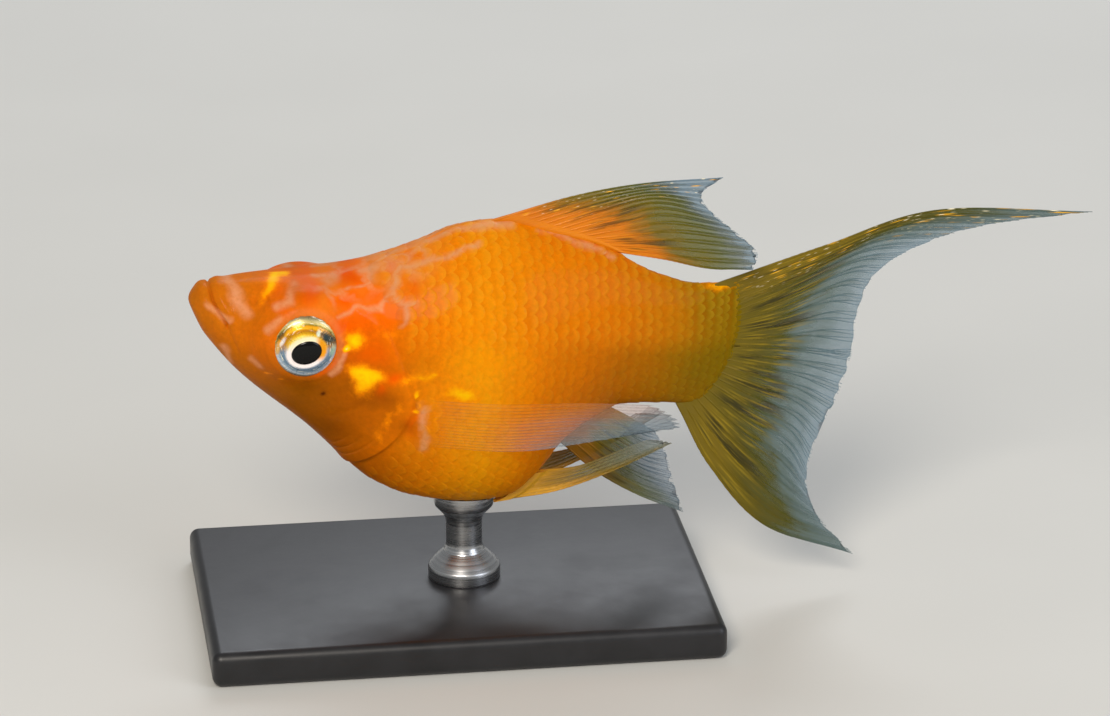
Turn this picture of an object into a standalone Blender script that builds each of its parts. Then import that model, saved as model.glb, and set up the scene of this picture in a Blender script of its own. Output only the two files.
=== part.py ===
"""A balloon molly with a lyre tail, as a still, life-size museum model on a small display stand.

The fish is described in its own frame: head towards -X, back towards +Z, its left side towards -Y,
with the origin on the midplane behind the gill cover, level with the middle of the tail stem.
One empty holds the whole fish, tips its nose up a little and lifts it to its height on the stand.
The foot of the stand is at the world's origin.
"""

import math

import bmesh
import bpy
import numpy as np

# Every size below is in millimetres, and MM turns it into metres.
MM = 0.001

# The fish as it hangs over the stand.
FISH_HEIGHT = 23.5
NOSE_UP_DEG = 3.05
GAP = 0.3

# The body's profile. Each line is a smooth curve through (x, value) points.
NOSE_X = -21.45
NOSE_Z = 4.0
NOSE_ROUND = 1.4
BACK_LINE = (
    (-21.45, 5.2), (-20.0, 5.5), (-17.5, 5.95), (-12.0, 6.4), (-9.0, 6.95), (-6.0, 7.8), (-3.0, 9.0),
    (0.0, 10.4), (3.0, 10.9), (7.4, 9.9), (12.0, 8.6), (17.0, 6.3), (20.0, 5.55), (23.0, 5.7),
)
BELLY_LINE = (
    (-21.45, 2.9), (-20.0, 0.95), (-17.5, -1.9), (-12.0, -6.45), (-6.0, -11.6), (-3.0, -12.8),
    (1.5, -13.3), (5.0, -12.9), (7.4, -11.1), (9.6, -8.2), (12.0, -6.25), (14.0, -5.2), (17.0, -5.1),
    (23.0, -5.6),
)
HALF_WIDTH = (
    (-21.45, 1.6), (-20.0, 2.15), (-17.5, 3.2), (-12.0, 4.75), (-6.0, 6.15), (1.5, 7.15), (5.0, 6.7),
    (9.6, 4.7), (14.0, 2.95), (20.0, 1.6), (23.0, 0.8),
)
WIDEST_HEIGHT = (
    (-21.45, 3.9), (-17.5, 2.0), (-12.0, 0.8), (-6.0, -1.5), (1.5, -3.0), (7.0, -1.5), (14.0, 1.0),
    (23.0, 0.2),
)
# How fast a section narrows away from its widest height: 1 is an ellipse, less is boxier.
NARROWING_ABOVE = ((-21.45, 0.75), (-12.0, 0.8), (-4.0, 1.0), (3.0, 1.2), (23.0, 1.1))
NARROWING_BELOW = ((-21.45, 0.9), (-12.0, 1.1), (-4.0, 0.95), (4.0, 0.9), (10.0, 1.15), (23.0, 1.1))
HEAD_AROUND = 48
BODY_AROUND = 40

# The rim of the gill cover, where the head ends.
GILL_X = -3.75
GILL_Z = -2.9
GILL_RIM_STARTS = -15.0
GILL_FLARE = 0.35
GILL_FLARE_WIDTH = 1.5
CHEEK_GROOVE_DEPTH = 0.2
CHEEK_GROOVE_WIDTH = 0.5
CHEEK_GROOVE_RADIUS = 4.7
CHEEK_CENTRE = (-11.0, 0.2)

# The tail stem runs from the end of the body cavity to the roots of the tail fin.
STEM_START = 14.6
STEM_END = 22.7
STEM_END_Z = 2.5
STEM_END_CURVE = 0.053

# The eyes, each a flattened ball in a raised socket.
EYE_CENTRE = (-12.4, 4.3, 1.75)
EYE_RADII = (3.0, 1.8, 3.0)
EYE_BULGE_CENTRE = (-12.4, 3.3, 2.05)
EYE_BULGE_RADII = (4.2, 2.5, 3.8)
EYE_BULGE_BLEND = 0.3

# The mouth, a slit that runs from the top of the snout down and back to its corners.
MOUTH_LINE = ((-20.35, 6.6), (-20.0, 5.4), (-19.75, 4.5), (-19.25, 3.7), (-18.6, 2.75))
MOUTH_OPEN = 0.35
MOUTH_HALF_WIDTH = 4.0
LIP_HEIGHT = 0.2
LIP_OFFSET = 0.75
LIP_WIDTH = 0.6
LIP_FADE = 1.4

# The nostrils, one pit on each side between the snout and the eye.
NOSTRIL_CENTRE = (-16.6, 2.75, 4.75)
NOSTRIL_RADIUS = 0.42

# The fins: a thin membrane between raised rays, both thinner towards the margin.
RAY_THICK = (1.0, 0.5)
MEMBRANE_THICK = (0.6, 0.32)

# The stand: a flat plate and one turned rod under the belly.
BASE_SIZE = (42.0, 27.0, 3.0)
BASE_BEVEL = 0.8
ROD_X = 1.0
ROD_PROFILE = ((0.0, 14.0), (2.5, 14.0), (2.5, 9.6), (1.5, 8.2), (1.5, 5.6), (3.0, 4.5), (3.0, 3.3), (0.0, 3.3))
ROD_SIDES = 32


def clear_scene():
    for old in list(bpy.data.objects):
        bpy.data.objects.remove(old)


def smooth_line(points, x):
    """Values at x of a smooth curve through (x, value) points that never overshoots them."""
    at = np.array([p[0] for p in points])
    value = np.array([p[1] for p in points])
    step = np.diff(at)
    rise = np.diff(value) / step
    slope = np.zeros(len(at))
    slope[0], slope[-1] = rise[0], rise[-1]
    same_way = rise[1:] * rise[:-1] > 0
    before, after = 2 * step[1:] + step[:-1], step[1:] + 2 * step[:-1]
    safe = np.where(same_way, 1.0, 0.0)
    left = np.where(same_way, rise[:-1], 1.0)
    right = np.where(same_way, rise[1:], 1.0)
    slope[1:-1] = safe * (before + after) / (before / left + after / right)
    x = np.clip(np.asarray(x, dtype=float), at[0], at[-1])
    i = np.clip(np.searchsorted(at, x) - 1, 0, len(at) - 2)
    t = (x - at[i]) / step[i]
    return (
        value[i] * (1 + 2 * t) * (1 - t) ** 2
        + slope[i] * step[i] * t * (1 - t) ** 2
        + value[i + 1] * t**2 * (3 - 2 * t)
        - slope[i + 1] * step[i] * t**2 * (1 - t)
    )


def smooth_row(points, t):
    """Points at t, from 0 to 1, on a smooth curve through evenly spaced points."""
    p = np.asarray(points, dtype=float)
    p = np.vstack([2 * p[0] - p[1], p, 2 * p[-1] - p[-2]])
    place = np.clip(np.asarray(t, dtype=float), 0, 1) * (len(points) - 1)
    i = np.minimum(place.astype(int), len(points) - 2)
    f = (place - i)[..., None]
    a, b, c, d = p[i], p[i + 1], p[i + 2], p[i + 3]
    return b + 0.5 * f * (c - a + f * (2 * a - 5 * b + 4 * c - d + f * (3 * (b - c) + d - a)))


def section(x, grow=0.0):
    """The body's top, bottom, half width and widest height at x, grown outwards by grow."""
    ahead = np.clip(1 - (np.asarray(x, dtype=float) - NOSE_X) / NOSE_ROUND, 0, 1)
    closing = np.sqrt(1 - ahead**2)
    top = NOSE_Z + (smooth_line(BACK_LINE, x) - NOSE_Z) * closing
    bottom = NOSE_Z + (smooth_line(BELLY_LINE, x) - NOSE_Z) * closing
    middle = NOSE_Z + (smooth_line(WIDEST_HEIGHT, x) - NOSE_Z) * closing
    return top + grow, bottom - grow, smooth_line(HALF_WIDTH, x) * closing + grow, middle


def outline(x, angle, grow=0.0):
    """Y and Z on the body's surface at x. The angle is -90 at the belly and 90 at the back."""
    top, bottom, half, middle = section(x, grow)
    across, rise = np.cos(angle), np.sin(angle)
    power = np.where(rise > 0, smooth_line(NARROWING_ABOVE, x), smooth_line(NARROWING_BELOW, x))
    y = -half * np.sign(across) * np.abs(across) ** power
    z = middle + np.where(rise > 0, (top - middle) * rise, (middle - bottom) * rise)
    return y, z


def side_at(x, z):
    """Half width of the body at x and z."""
    top, bottom, half, middle = section(x)
    above = z > middle
    rise = (z - middle) / np.where(above, top - middle, middle - bottom)
    power = np.where(above, smooth_line(NARROWING_ABOVE, x), smooth_line(NARROWING_BELOW, x))
    return half * np.sqrt(np.clip(1 - rise**2, 0, 1)) ** power


def under_at(x, y):
    """Height of the belly's surface at x and y."""
    bottom, half, middle = section(x)[1:]
    across = np.clip(np.abs(y) / half, 0, 1) ** (1 / smooth_line(NARROWING_BELOW, x))
    return middle - (middle - bottom) * np.sqrt(1 - across**2)


def gill_rim(z):
    """How far ahead of its rearmost point the rim of the gill cover lies at height z."""
    above = np.clip(z - GILL_Z, 0, None)
    below = np.clip(GILL_Z - z, 0, None)
    return -0.179 * above**1.4 - 0.15 * below**1.8


def stem_rim(z):
    """How far ahead of STEM_END the roots of the tail fin lie at height z."""
    return -STEM_END_CURVE * (z - STEM_END_Z) ** 2


def body_ring(base_x, bend, strength, around=BODY_AROUND, grow=0.0):
    """One ring of points round the body, its plane bent forward by strength times bend(z)."""
    angle = np.radians(-90 + 360 * np.arange(around) / around)
    x = np.full(around, float(base_x))
    for _ in range(40):
        z = outline(x, angle)[1]
        x = 0.5 * (x + base_x + strength * bend(z))
        x = np.maximum(x, NOSE_X + 0.001)
    y, z = outline(x, angle, grow)
    return np.stack([x, y, z], 1)


def finished_mesh(name, mesh):
    """The mesh's data, with its faces turned outwards."""
    bmesh.ops.recalc_face_normals(mesh, faces=mesh.faces)
    data = bpy.data.meshes.new(name)
    mesh.to_mesh(data)
    mesh.free()
    return data


def loft(name, rings, nose=None):
    """A closed mesh through rings, with strips from left to right over its ends."""
    mesh = bmesh.new()
    around = len(rings[0])
    rows = [[mesh.verts.new(p * MM) for p in ring] for ring in rings]
    for row, following in zip(rows, rows[1:]):
        for i in range(around):
            j = (i + 1) % around
            mesh.faces.new((row[i], row[j], following[j], following[i]))
    if nose is not None:
        tip = mesh.verts.new(nose * MM)
        for i in range(around):
            mesh.faces.new((rows[0][i], rows[0][(i + 1) % around], tip))
    for row in (rows[-1],) if nose is not None else (rows[0], rows[-1]):
        half = around // 2
        mesh.faces.new((row[0], row[1], row[-1]))
        mesh.faces.new((row[half], row[half - 1], row[half + 1]))
        for i in range(1, half - 1):
            mesh.faces.new((row[i], row[i + 1], row[-i - 1], row[-i]))
    return finished_mesh(name, mesh)


def add_object(name, data, collection, parent=None):
    made = bpy.data.objects.new(name, data)
    collection.objects.link(made)
    made.parent = parent
    return made


def add_cutter(name, data, collection, parent=None):
    made = add_object(name, data, collection, parent)
    made.hide_render = True
    made.display_type = "WIRE"
    return made


def cut(target, cutter):
    change = target.modifiers.new("cut " + cutter.name, "BOOLEAN")
    change.operation = "DIFFERENCE"
    change.solver = "EXACT"
    change.object = cutter


def paint(target, name, colour, roughness, metallic=0.0):
    material = bpy.data.materials.get(name) or bpy.data.materials.new(name)
    material.use_nodes = True
    shader = material.node_tree.nodes["Principled BSDF"]
    shader.inputs["Base Color"].default_value = (*colour, 1.0)
    shader.inputs["Roughness"].default_value = roughness
    shader.inputs["Metallic"].default_value = metallic
    target.data.materials.append(material)


def shade(target, sharp_deg=40.0):
    target.data.shade_smooth()
    target.data.set_sharp_from_angle(angle=math.radians(sharp_deg))


def raise_eye_sockets(points):
    """Pushes the head out round each eye, to the surface of a flattened ball."""
    for side in (-1, 1):
        centre = np.array(EYE_BULGE_CENTRE) * (1, side, 1)
        away = (points - centre) / np.array(EYE_BULGE_RADII)
        distance = np.linalg.norm(away, axis=1)
        wanted = 0.5 * (distance + 1 + np.hypot(distance - 1, EYE_BULGE_BLEND))
        points = centre + (points - centre) * (wanted / distance)[:, None]
    return points


def shape_head(points):
    """Adds the lips, the groove of the cheek, the flared gill cover and the eye sockets."""
    x, y, z = points.T
    top, bottom, half, middle = section(x)
    tall = np.where(z > middle, top - middle, middle - bottom)
    outward = np.stack([0 * x, y / half**2, (z - middle) / tall**2], 1)
    outward /= np.linalg.norm(outward, axis=1)[:, None]
    mouth = np.array(MOUTH_LINE)
    mouth_x = np.interp(z, mouth[::-1, 1], mouth[::-1, 0])
    from_mouth = (np.abs(x - mouth_x) - LIP_OFFSET) / LIP_WIDTH
    below_corner = np.clip(mouth[-1, 1] - z, 0, None)
    lips = LIP_HEIGHT * np.exp(-(from_mouth**2) - (below_corner / LIP_FADE) ** 2)
    to_rim = (GILL_X + gill_rim(z) - x) / GILL_FLARE_WIDTH
    flare = GILL_FLARE * np.exp(-(to_rim**2))
    from_cheek = np.hypot(x - CHEEK_CENTRE[0], z - CHEEK_CENTRE[1]) - CHEEK_GROOVE_RADIUS
    behind = np.clip((x - CHEEK_CENTRE[0]) / 2, 0, 1)
    groove = CHEEK_GROOVE_DEPTH * np.exp(-((from_cheek / CHEEK_GROOVE_WIDTH) ** 2)) * behind
    points = points + outward * lips[:, None]
    points[:, 1] += (flare - groove) * y / half
    return raise_eye_sockets(points)


def head_rings():
    nose = [NOSE_X + NOSE_ROUND * (1 - math.cos(math.radians(a))) for a in (14, 30, 46, 62, 78)]
    snout = list(np.arange(nose[-1] + 0.35, -17.0, 0.42))
    cheek = list(np.linspace(-16.8, GILL_X, 24))
    rings = []
    for x in nose + snout + cheek:
        reach = np.clip((x - GILL_RIM_STARTS) / (GILL_X - GILL_RIM_STARTS), 0, 1)
        rings.append(shape_head(body_ring(x, gill_rim, reach, HEAD_AROUND)))
    return rings


def torso_rings():
    rings = []
    start = GILL_X + 1.2 * GAP
    for part in np.linspace(0, 1, 20):
        x = start + (STEM_START - GAP / 2 - start) * part
        rings.append(body_ring(x, gill_rim, np.clip(1 - 2 * part, 0, 1)))
    return rings


def stem_rings():
    rings = []
    for part in np.linspace(0, 1, 8):
        x = STEM_START + GAP / 2 + (STEM_END - STEM_START - GAP / 2) * part
        rings.append(body_ring(x, stem_rim, part))
    return rings


def ball(name, centre, radii, segments=20, rows=12):
    """A flattened ball whose poles lie on the left and right."""
    mesh = bmesh.new()
    bmesh.ops.create_uvsphere(mesh, u_segments=segments, v_segments=rows, radius=MM)
    for v in mesh.verts:
        turned = (v.co.x, v.co.z, -v.co.y)
        v.co = [c * MM + r * t for c, r, t in zip(centre, radii, turned)]
    return finished_mesh(name, mesh)


def mouth_cutter(collection, parent):
    """A thin plate across the snout that follows the line of the mouth."""
    line = smooth_row(MOUTH_LINE, np.linspace(0, 1, 9))
    front = [(x - MOUTH_OPEN / 2, z) for x, z in line]
    rear = [(x + MOUTH_OPEN / 2, z) for x, z in line]
    mesh = bmesh.new()
    edge = [mesh.verts.new((x * MM, -MOUTH_HALF_WIDTH * MM, z * MM)) for x, z in front + rear[::-1]]
    face = mesh.faces.new(edge)
    far = bmesh.ops.extrude_face_region(mesh, geom=[face])["geom"]
    moved = [v for v in far if isinstance(v, bmesh.types.BMVert)]
    bmesh.ops.translate(mesh, verts=moved, vec=(0, 2 * MOUTH_HALF_WIDTH * MM, 0))
    return add_cutter("mouth_cutter", finished_mesh("mouth_cutter", mesh), collection, parent)


def add_head(parts, cutters, fish):
    nose = raise_eye_sockets(np.array([[NOSE_X, 0, NOSE_Z]]))[0]
    head = add_object("head", loft("head", head_rings(), nose), parts, fish)
    cut(head, mouth_cutter(cutters, fish))
    for side, word in ((-1, "left"), (1, "right")):
        mirror = (1, side, 1)
        eye_centre = np.array(EYE_CENTRE) * mirror
        socket = ball("socket_" + word, eye_centre, np.array(EYE_RADII) + GAP)
        pit = ball("nostril_" + word, np.array(NOSTRIL_CENTRE) * mirror, (NOSTRIL_RADIUS,) * 3, 10, 6)
        for cutter in (socket, pit):
            cut(head, add_cutter(cutter.name, cutter, cutters, fish))
        eye = add_object("eye_" + word, ball("eye_" + word, eye_centre, EYE_RADII), parts, fish)
        paint(eye, "Glass eye", (0.55, 0.42, 0.16), 0.1)
        shade(eye)
    paint(head, "Orange scaled skin", (0.72, 0.17, 0.02), 0.35)
    shade(head)


def add_trunk(parts, fish):
    for name, rings in (("torso", torso_rings()), ("tail_stem", stem_rings())):
        made = add_object(name, loft(name, rings), parts, fish)
        paint(made, "Orange scaled skin", (0.72, 0.17, 0.02), 0.35)
        shade(made)


def fin_sheet(rows, across, along):
    """Points across and along a fin, whose rows of points run from its root to its margin."""
    u = np.linspace(0, 1, across)
    v = np.linspace(0, 1, along)
    columns = np.stack([smooth_row(row, u) for row in rows])
    return np.stack([smooth_row(columns[:, i], v) for i in range(across)]), v


def thinning(thickness, v):
    """A thickness at v, from its value at the root to its value at the margin."""
    return thickness[0] + (thickness[1] - thickness[0]) * v**1.5


def add_fin(name, rows, rays, along, parts, fish, mirror=False):
    """A fin as a closed sheet whose two faces are split into triangles alike."""
    across = 2 * rays - 1
    sheet, v = fin_sheet(rows, across, along)
    if mirror:
        sheet = sheet * (1, -1, 1)
    on_ray = np.arange(across)[:, None] % 2 == 0
    thick = np.where(on_ray, thinning(RAY_THICK, v), thinning(MEMBRANE_THICK, v))
    mesh = bmesh.new()
    near, far = (
        [
            [mesh.verts.new((sheet[i, j] + (0, way * thick[i, j] / 2, 0)) * MM) for j in range(along)]
            for i in range(across)
        ]
        for way in (-1, 1)
    )
    for i in range(across - 1):
        for j in range(along - 1):
            corners = ((i, j), (i + 1, j), (i + 1, j + 1), (i, j + 1))
            for three in ((0, 1, 2), (0, 2, 3)):
                mesh.faces.new([near[corners[k][0]][corners[k][1]] for k in three])
                mesh.faces.new([far[corners[k][0]][corners[k][1]] for k in reversed(three)])
    border = [(i, 0) for i in range(across)]
    border += [(across - 1, j) for j in range(1, along)]
    border += [(i, along - 1) for i in range(across - 2, -1, -1)]
    border += [(0, j) for j in range(along - 2, 0, -1)]
    for (a, b), (c, d) in zip(border, border[1:] + border[:1]):
        mesh.faces.new((near[c][d], near[a][b], far[a][b]))
        mesh.faces.new((near[c][d], far[a][b], far[c][d]))
    made = add_object(name, finished_mesh(name, mesh), parts, fish)
    paint(made, "Olive fin membrane", (0.2, 0.16, 0.03), 0.4)
    shade(made, 60.0)


def add_dorsal_fin(parts, fish):
    root = [(x, 0, float(section(x)[0]) + GAP) for x in np.linspace(4.0, 13.7, 6)]
    rows = (
        root,
        ((9.5, -0.2, 12.95), (13.0, -0.4, 11.2), (17.3, -0.7, 7.75)),
        ((15.0, -0.6, 14.2), (16.6, -0.8, 12.2), (20.7, -1.6, 7.3)),
        (
            (21.5, -1.0, 14.95), (19.9, -1.15, 13.7), (20.1, -1.3, 12.7), (21.4, -1.7, 11.5),
            (23.0, -2.0, 10.3), (24.5, -2.3, 8.9), (24.2, -2.5, 7.5),
        ),
    )
    add_fin("dorsal_fin", rows, 11, 9, parts, fish)


def add_anal_fin(parts, fish):
    root = [(x, 0, float(section(x)[1]) - GAP) for x in np.linspace(9.6, 13.6, 4)]
    rows = (
        root,
        ((12.7, 0.1, -11.2), (14.2, 0.1, -8.6), (15.0, 0.1, -6.3)),
        ((16.3, 0.4, -13.4), (16.6, 0.4, -10.1), (16.3, 0.3, -7.1)),
        ((20.4, 0.8, -15.2), (19.3, 0.7, -12.2), (18.5, 0.6, -9.6), (17.5, 0.5, -7.8)),
    )
    add_fin("anal_fin", rows, 8, 7, parts, fish)


def add_tail_fins(parts, fish):
    stem_root = [(STEM_END + GAP + float(stem_rim(z)), 0, z) for z in (5.6, 4.2, 2.8, 1.5, 0.25)]
    upper = (
        stem_root,
        ((30.9, 0.35, 8.65), (28.0, 0.25, 4.8), (26.4, 0.1, 0.0)),
        ((40.0, 1.1, 11.45), (35.2, 0.8, 8.9), (32.2, 0.5, 5.2), (30.0, 0.25, -0.3)),
        (
            (53.6, 2.5, 10.9), (44.5, 1.6, 10.4), (39.1, 1.0, 8.95), (35.1, 0.7, 6.3),
            (33.9, 0.5, 2.9), (33.6, 0.4, -0.8),
        ),
    )
    add_fin("tail_fin_upper", upper, 10, 13, parts, fish)
    stem_root = [(STEM_END + GAP + float(stem_rim(z)), 0, z) for z in (-0.25, -1.6, -3.0, -4.4, -5.7)]
    lower = (
        stem_root,
        ((26.4, 0.1, -0.45), (25.2, 0.1, -5.4), (22.3, 0.0, -10.8)),
        ((30.0, 0.25, -0.8), (28.9, 0.2, -7.4), (27.3, 0.3, -16.2)),
        (
            (33.6, 0.4, -1.3), (32.7, 0.4, -4.6), (31.3, 0.35, -8.0), (30.6, 0.35, -12.0),
            (31.8, 0.5, -15.4), (35.1, 0.6, -19.0),
        ),
    )
    add_fin("tail_fin_lower", lower, 10, 11, parts, fish)


def add_pectoral_fins(parts, fish):
    out = GAP + RAY_THICK[0] / 2
    root = [(-2.7, -float(side_at(-2.7, z)) - out, z) for z in (-2.2, -3.6, -5.0, -6.3)]
    rows = (
        root,
        ((3.3, -8.1, -2.1), (3.5, -8.2, -4.2), (2.5, -8.1, -6.1)),
        ((9.6, -8.6, -1.8), (9.8, -8.7, -3.7), (5.6, -8.3, -6.0)),
        (
            (15.4, -9.0, -1.8), (17.0, -9.2, -2.6), (17.7, -9.3, -3.6), (15.0, -9.0, -4.2),
            (11.8, -8.7, -4.9), (8.4, -8.4, -5.6),
        ),
    )
    for word, mirror in (("left", False), ("right", True)):
        add_fin("pectoral_fin_" + word, rows, 10, 8, parts, fish, mirror)


def add_pelvic_fins(parts, fish):
    root = [(x, -1.7, float(under_at(x, 1.7)) - GAP) for x in (5.2, 6.1, 7.0, 7.8)]
    rows = (
        root,
        ((9.3, -2.0, -12.0), (10.2, -2.0, -10.8), (10.9, -2.0, -9.9)),
        ((13.8, -2.6, -10.0), (14.2, -2.6, -9.0), (14.2, -2.5, -8.3)),
        ((18.3, -3.2, -7.4), (17.3, -3.1, -7.2), (16.3, -3.0, -7.2)),
    )
    for word, mirror in (("left", False), ("right", True)):
        add_fin("pelvic_fin_" + word, rows, 6, 8, parts, fish, mirror)


def add_stand(parts, cutters, fish):
    mesh = bmesh.new()
    bmesh.ops.create_cube(mesh, size=1)
    bmesh.ops.scale(mesh, verts=mesh.verts, vec=[s * MM for s in BASE_SIZE])
    base = add_object("stand_base", finished_mesh("stand_base", mesh), parts)
    base.location = (0, 0, BASE_SIZE[2] / 2 * MM)
    bevel = base.modifiers.new("rounded edges", "BEVEL")
    bevel.width = BASE_BEVEL * MM
    bevel.segments = 3
    paint(base, "Satin black lacquer", (0.02, 0.02, 0.022), 0.4)

    profile = bpy.data.meshes.new("stand_rod")
    points = [(r * MM, 0, z * MM) for r, z in ROD_PROFILE]
    profile.from_pydata(points, [(i, i + 1) for i in range(len(points) - 1)], [])
    rod = add_object("stand_rod", profile, parts)
    rod.location = (ROD_X * MM, 0, 0)
    turn = rod.modifiers.new("turned", "SCREW")
    turn.steps = ROD_SIDES
    turn.render_steps = ROD_SIDES
    turn.use_merge_vertices = True
    turn.merge_threshold = 0.00001
    belly = loft("belly_cutter", [body_ring(x, gill_rim, 0.0, grow=GAP) for x in np.linspace(-7, 9, 17)])
    cut(rod, add_cutter("belly_cutter", belly, cutters, fish))
    paint(rod, "Brushed steel", (0.55, 0.55, 0.56), 0.3, 1.0)


def main():
    clear_scene()
    parts = bpy.data.collections.new("balloon_molly")
    cutters = bpy.data.collections.new("cutters")
    for collection in (parts, cutters):
        bpy.context.scene.collection.children.link(collection)
    fish = bpy.data.objects.new("fish_pose", None)
    parts.objects.link(fish)
    fish.location = (0, 0, FISH_HEIGHT * MM)
    fish.rotation_euler = (0, math.radians(NOSE_UP_DEG), 0)

    add_head(parts, cutters, fish)
    add_trunk(parts, fish)
    add_dorsal_fin(parts, fish)
    add_anal_fin(parts, fish)
    add_tail_fins(parts, fish)
    add_pectoral_fins(parts, fish)
    add_pelvic_fins(parts, fish)
    add_stand(parts, cutters, fish)


main()
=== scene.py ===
import math
from functools import partial

import bmesh
import bpy
import numpy as np
from mathutils import Matrix, Vector
from mathutils.bvhtree import BVHTree


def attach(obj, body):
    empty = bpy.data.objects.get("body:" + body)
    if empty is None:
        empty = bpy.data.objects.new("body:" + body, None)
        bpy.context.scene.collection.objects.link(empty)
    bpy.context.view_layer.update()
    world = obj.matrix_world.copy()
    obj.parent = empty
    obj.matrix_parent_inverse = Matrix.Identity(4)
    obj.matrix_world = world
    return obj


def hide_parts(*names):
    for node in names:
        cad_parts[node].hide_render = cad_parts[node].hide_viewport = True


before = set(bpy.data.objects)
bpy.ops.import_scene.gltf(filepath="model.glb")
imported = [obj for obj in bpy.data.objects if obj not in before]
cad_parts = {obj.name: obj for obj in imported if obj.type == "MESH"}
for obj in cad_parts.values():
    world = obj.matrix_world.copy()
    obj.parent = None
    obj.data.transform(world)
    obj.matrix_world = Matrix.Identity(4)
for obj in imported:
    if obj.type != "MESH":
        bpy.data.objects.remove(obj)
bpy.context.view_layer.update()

# The studio: a floor of pale matt board, soft lamps and one camera that stands where the photograph
# was taken from. None of it is part of the model.
FLOOR_REACH = 1.5
FLOOR_COLOURS = ("#D9D8D3", "#D3D2CD")
SKY_COLOUR = "#DCDEDE"
SKY_STRENGTH = 0.42
# Each lamp's name, place, width, power and colour.
LAMPS = (
    ("key lamp", (-0.16, -0.42, 0.36), 0.22, 2.1, "#FFF6EA"),
    ("fill lamp", (0.34, -0.30, 0.22), 0.30, 0.7, "#EEF4FF"),
    ("back lamp", (0.10, 0.40, 0.38), 0.30, 1.1, "#F4F8FF"),
)
CAMERA_LENS = 158.0
CAMERA_DISTANCE = 0.4
CAMERA_AZIMUTH = math.radians(-8.0)
CAMERA_ELEVATION = math.radians(21.0)
CAMERA_TARGET = Vector((0.008627, 0.0, 0.021899))


def linear(code):
    """The linear colour, with alpha, of an sRGB hex code."""
    parts = [int(code[i : i + 2], 16) / 255 for i in (1, 3, 5)]
    return [c / 12.92 if c <= 0.04045 else ((c + 0.055) / 1.055) ** 2.4 for c in parts] + [1.0]


def feed(node, inputs):
    """Gives a node's inputs, by name or in their order, their numbers and hex colours, or links them."""
    for key, value in inputs.items() if isinstance(inputs, dict) else enumerate(inputs):
        if isinstance(value, bpy.types.Node):
            value = next(output for output in value.outputs if output.enabled)
        if isinstance(value, bpy.types.NodeSocket):
            node.id_data.links.new(value, node.inputs[key])
        else:
            coloured = isinstance(value, str) and value.startswith("#")
            node.inputs[key].default_value = linear(value) if coloured else value


# The setting that says what a node does, for the kinds where it isn't the type of its data.
MODES = dict(Math="operation", VectorMath="operation", MapRange="interpolation_type", Mapping="vector_type")


def add_node(tree, kind, inputs=(), stops=(), **settings):
    """Adds a node with its settings, the stops of its colour ramp and what feeds its inputs.

    Its kind may end in its mode, as in "Math MULTIPLY" and "Mix RGBA".
    """
    kind, *mode = kind.split()
    family = "GeometryNode" if hasattr(bpy.types, "GeometryNode" + kind) else "ShaderNode"
    made = tree.nodes.new(kind if "Node" in kind else family + kind)
    if mode:
        settings[MODES.get(kind, "data_type")] = mode[0]
    for key, value in settings.items():
        setattr(made, key, value)
    while stops and len(made.color_ramp.elements) < len(stops):
        made.color_ramp.elements.new(1.0)
    for i, (place, code) in enumerate(stops):
        made.color_ramp.elements[i].position = place
        made.color_ramp.elements[i].color = linear(code)
    feed(made, inputs)
    return made


def new_material(name):
    """An empty Principled material, with the function that adds a node to it and with its shader."""
    material = bpy.data.materials.new(name)
    material.use_nodes = True
    return material, partial(add_node, material.node_tree), material.node_tree.nodes["Principled BSDF"]


def show(name, data):
    """Puts an object in the scene, unturned and at the origin."""
    shown = bpy.data.objects.new(name, data)
    bpy.context.scene.collection.objects.link(shown)
    return shown


# Matt board: chalky paint on card, with a faint mottle about 30 mm across and no shine.
floor_paint, add, shader = new_material("pale matt board")
place = add("TexCoord").outputs["Object"]
mottle = add("TexNoise", {"Vector": place, "Scale": 33.0, "Detail": 2.0})
tone = add("Mix RGBA", {0: mottle, 6: FLOOR_COLOURS[0], 7: FLOOR_COLOURS[1]})
feed(shader, {"Base Color": tone, "Roughness": 0.9})

mesh = bpy.data.meshes.new("floor")
corners = [(x * FLOOR_REACH, y * FLOOR_REACH, 0) for x, y in ((-1, -1), (1, -1), (1, 1), (-1, 1))]
mesh.from_pydata(corners, [], [(0, 1, 2, 3)])
mesh.materials.append(floor_paint)
floor = show("floor", mesh)

for name, spot, size, power, colour in LAMPS:
    lamp = bpy.data.lights.new(name, "AREA")
    lamp.shape, lamp.size, lamp.energy, lamp.color = "DISK", size, power, linear(colour)[:3]
    holder = show(name, lamp)
    holder.location = spot
    holder.rotation_euler = (Vector(spot) - CAMERA_TARGET).to_track_quat("Z", "Y").to_euler()

world = bpy.data.worlds.new("studio")
world.use_nodes = True
feed(world.node_tree.nodes["Background"], {"Color": SKY_COLOUR, "Strength": SKY_STRENGTH})
bpy.context.scene.world = world
bpy.context.scene.view_settings.view_transform = "Standard"

level = math.cos(CAMERA_ELEVATION)
towards_camera = Vector(
    (math.sin(CAMERA_AZIMUTH) * level, -math.cos(CAMERA_AZIMUTH) * level, math.sin(CAMERA_ELEVATION))
)
camera = show("camera", bpy.data.cameras.new("camera"))
camera.data.lens = CAMERA_LENS
camera.data.sensor_width = 36.0
camera.data.clip_start = 0.01
camera.location = CAMERA_TARGET + towards_camera * CAMERA_DISTANCE
camera.rotation_euler = towards_camera.to_track_quat("Z", "Y").to_euler()
bpy.context.scene.camera = camera

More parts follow.
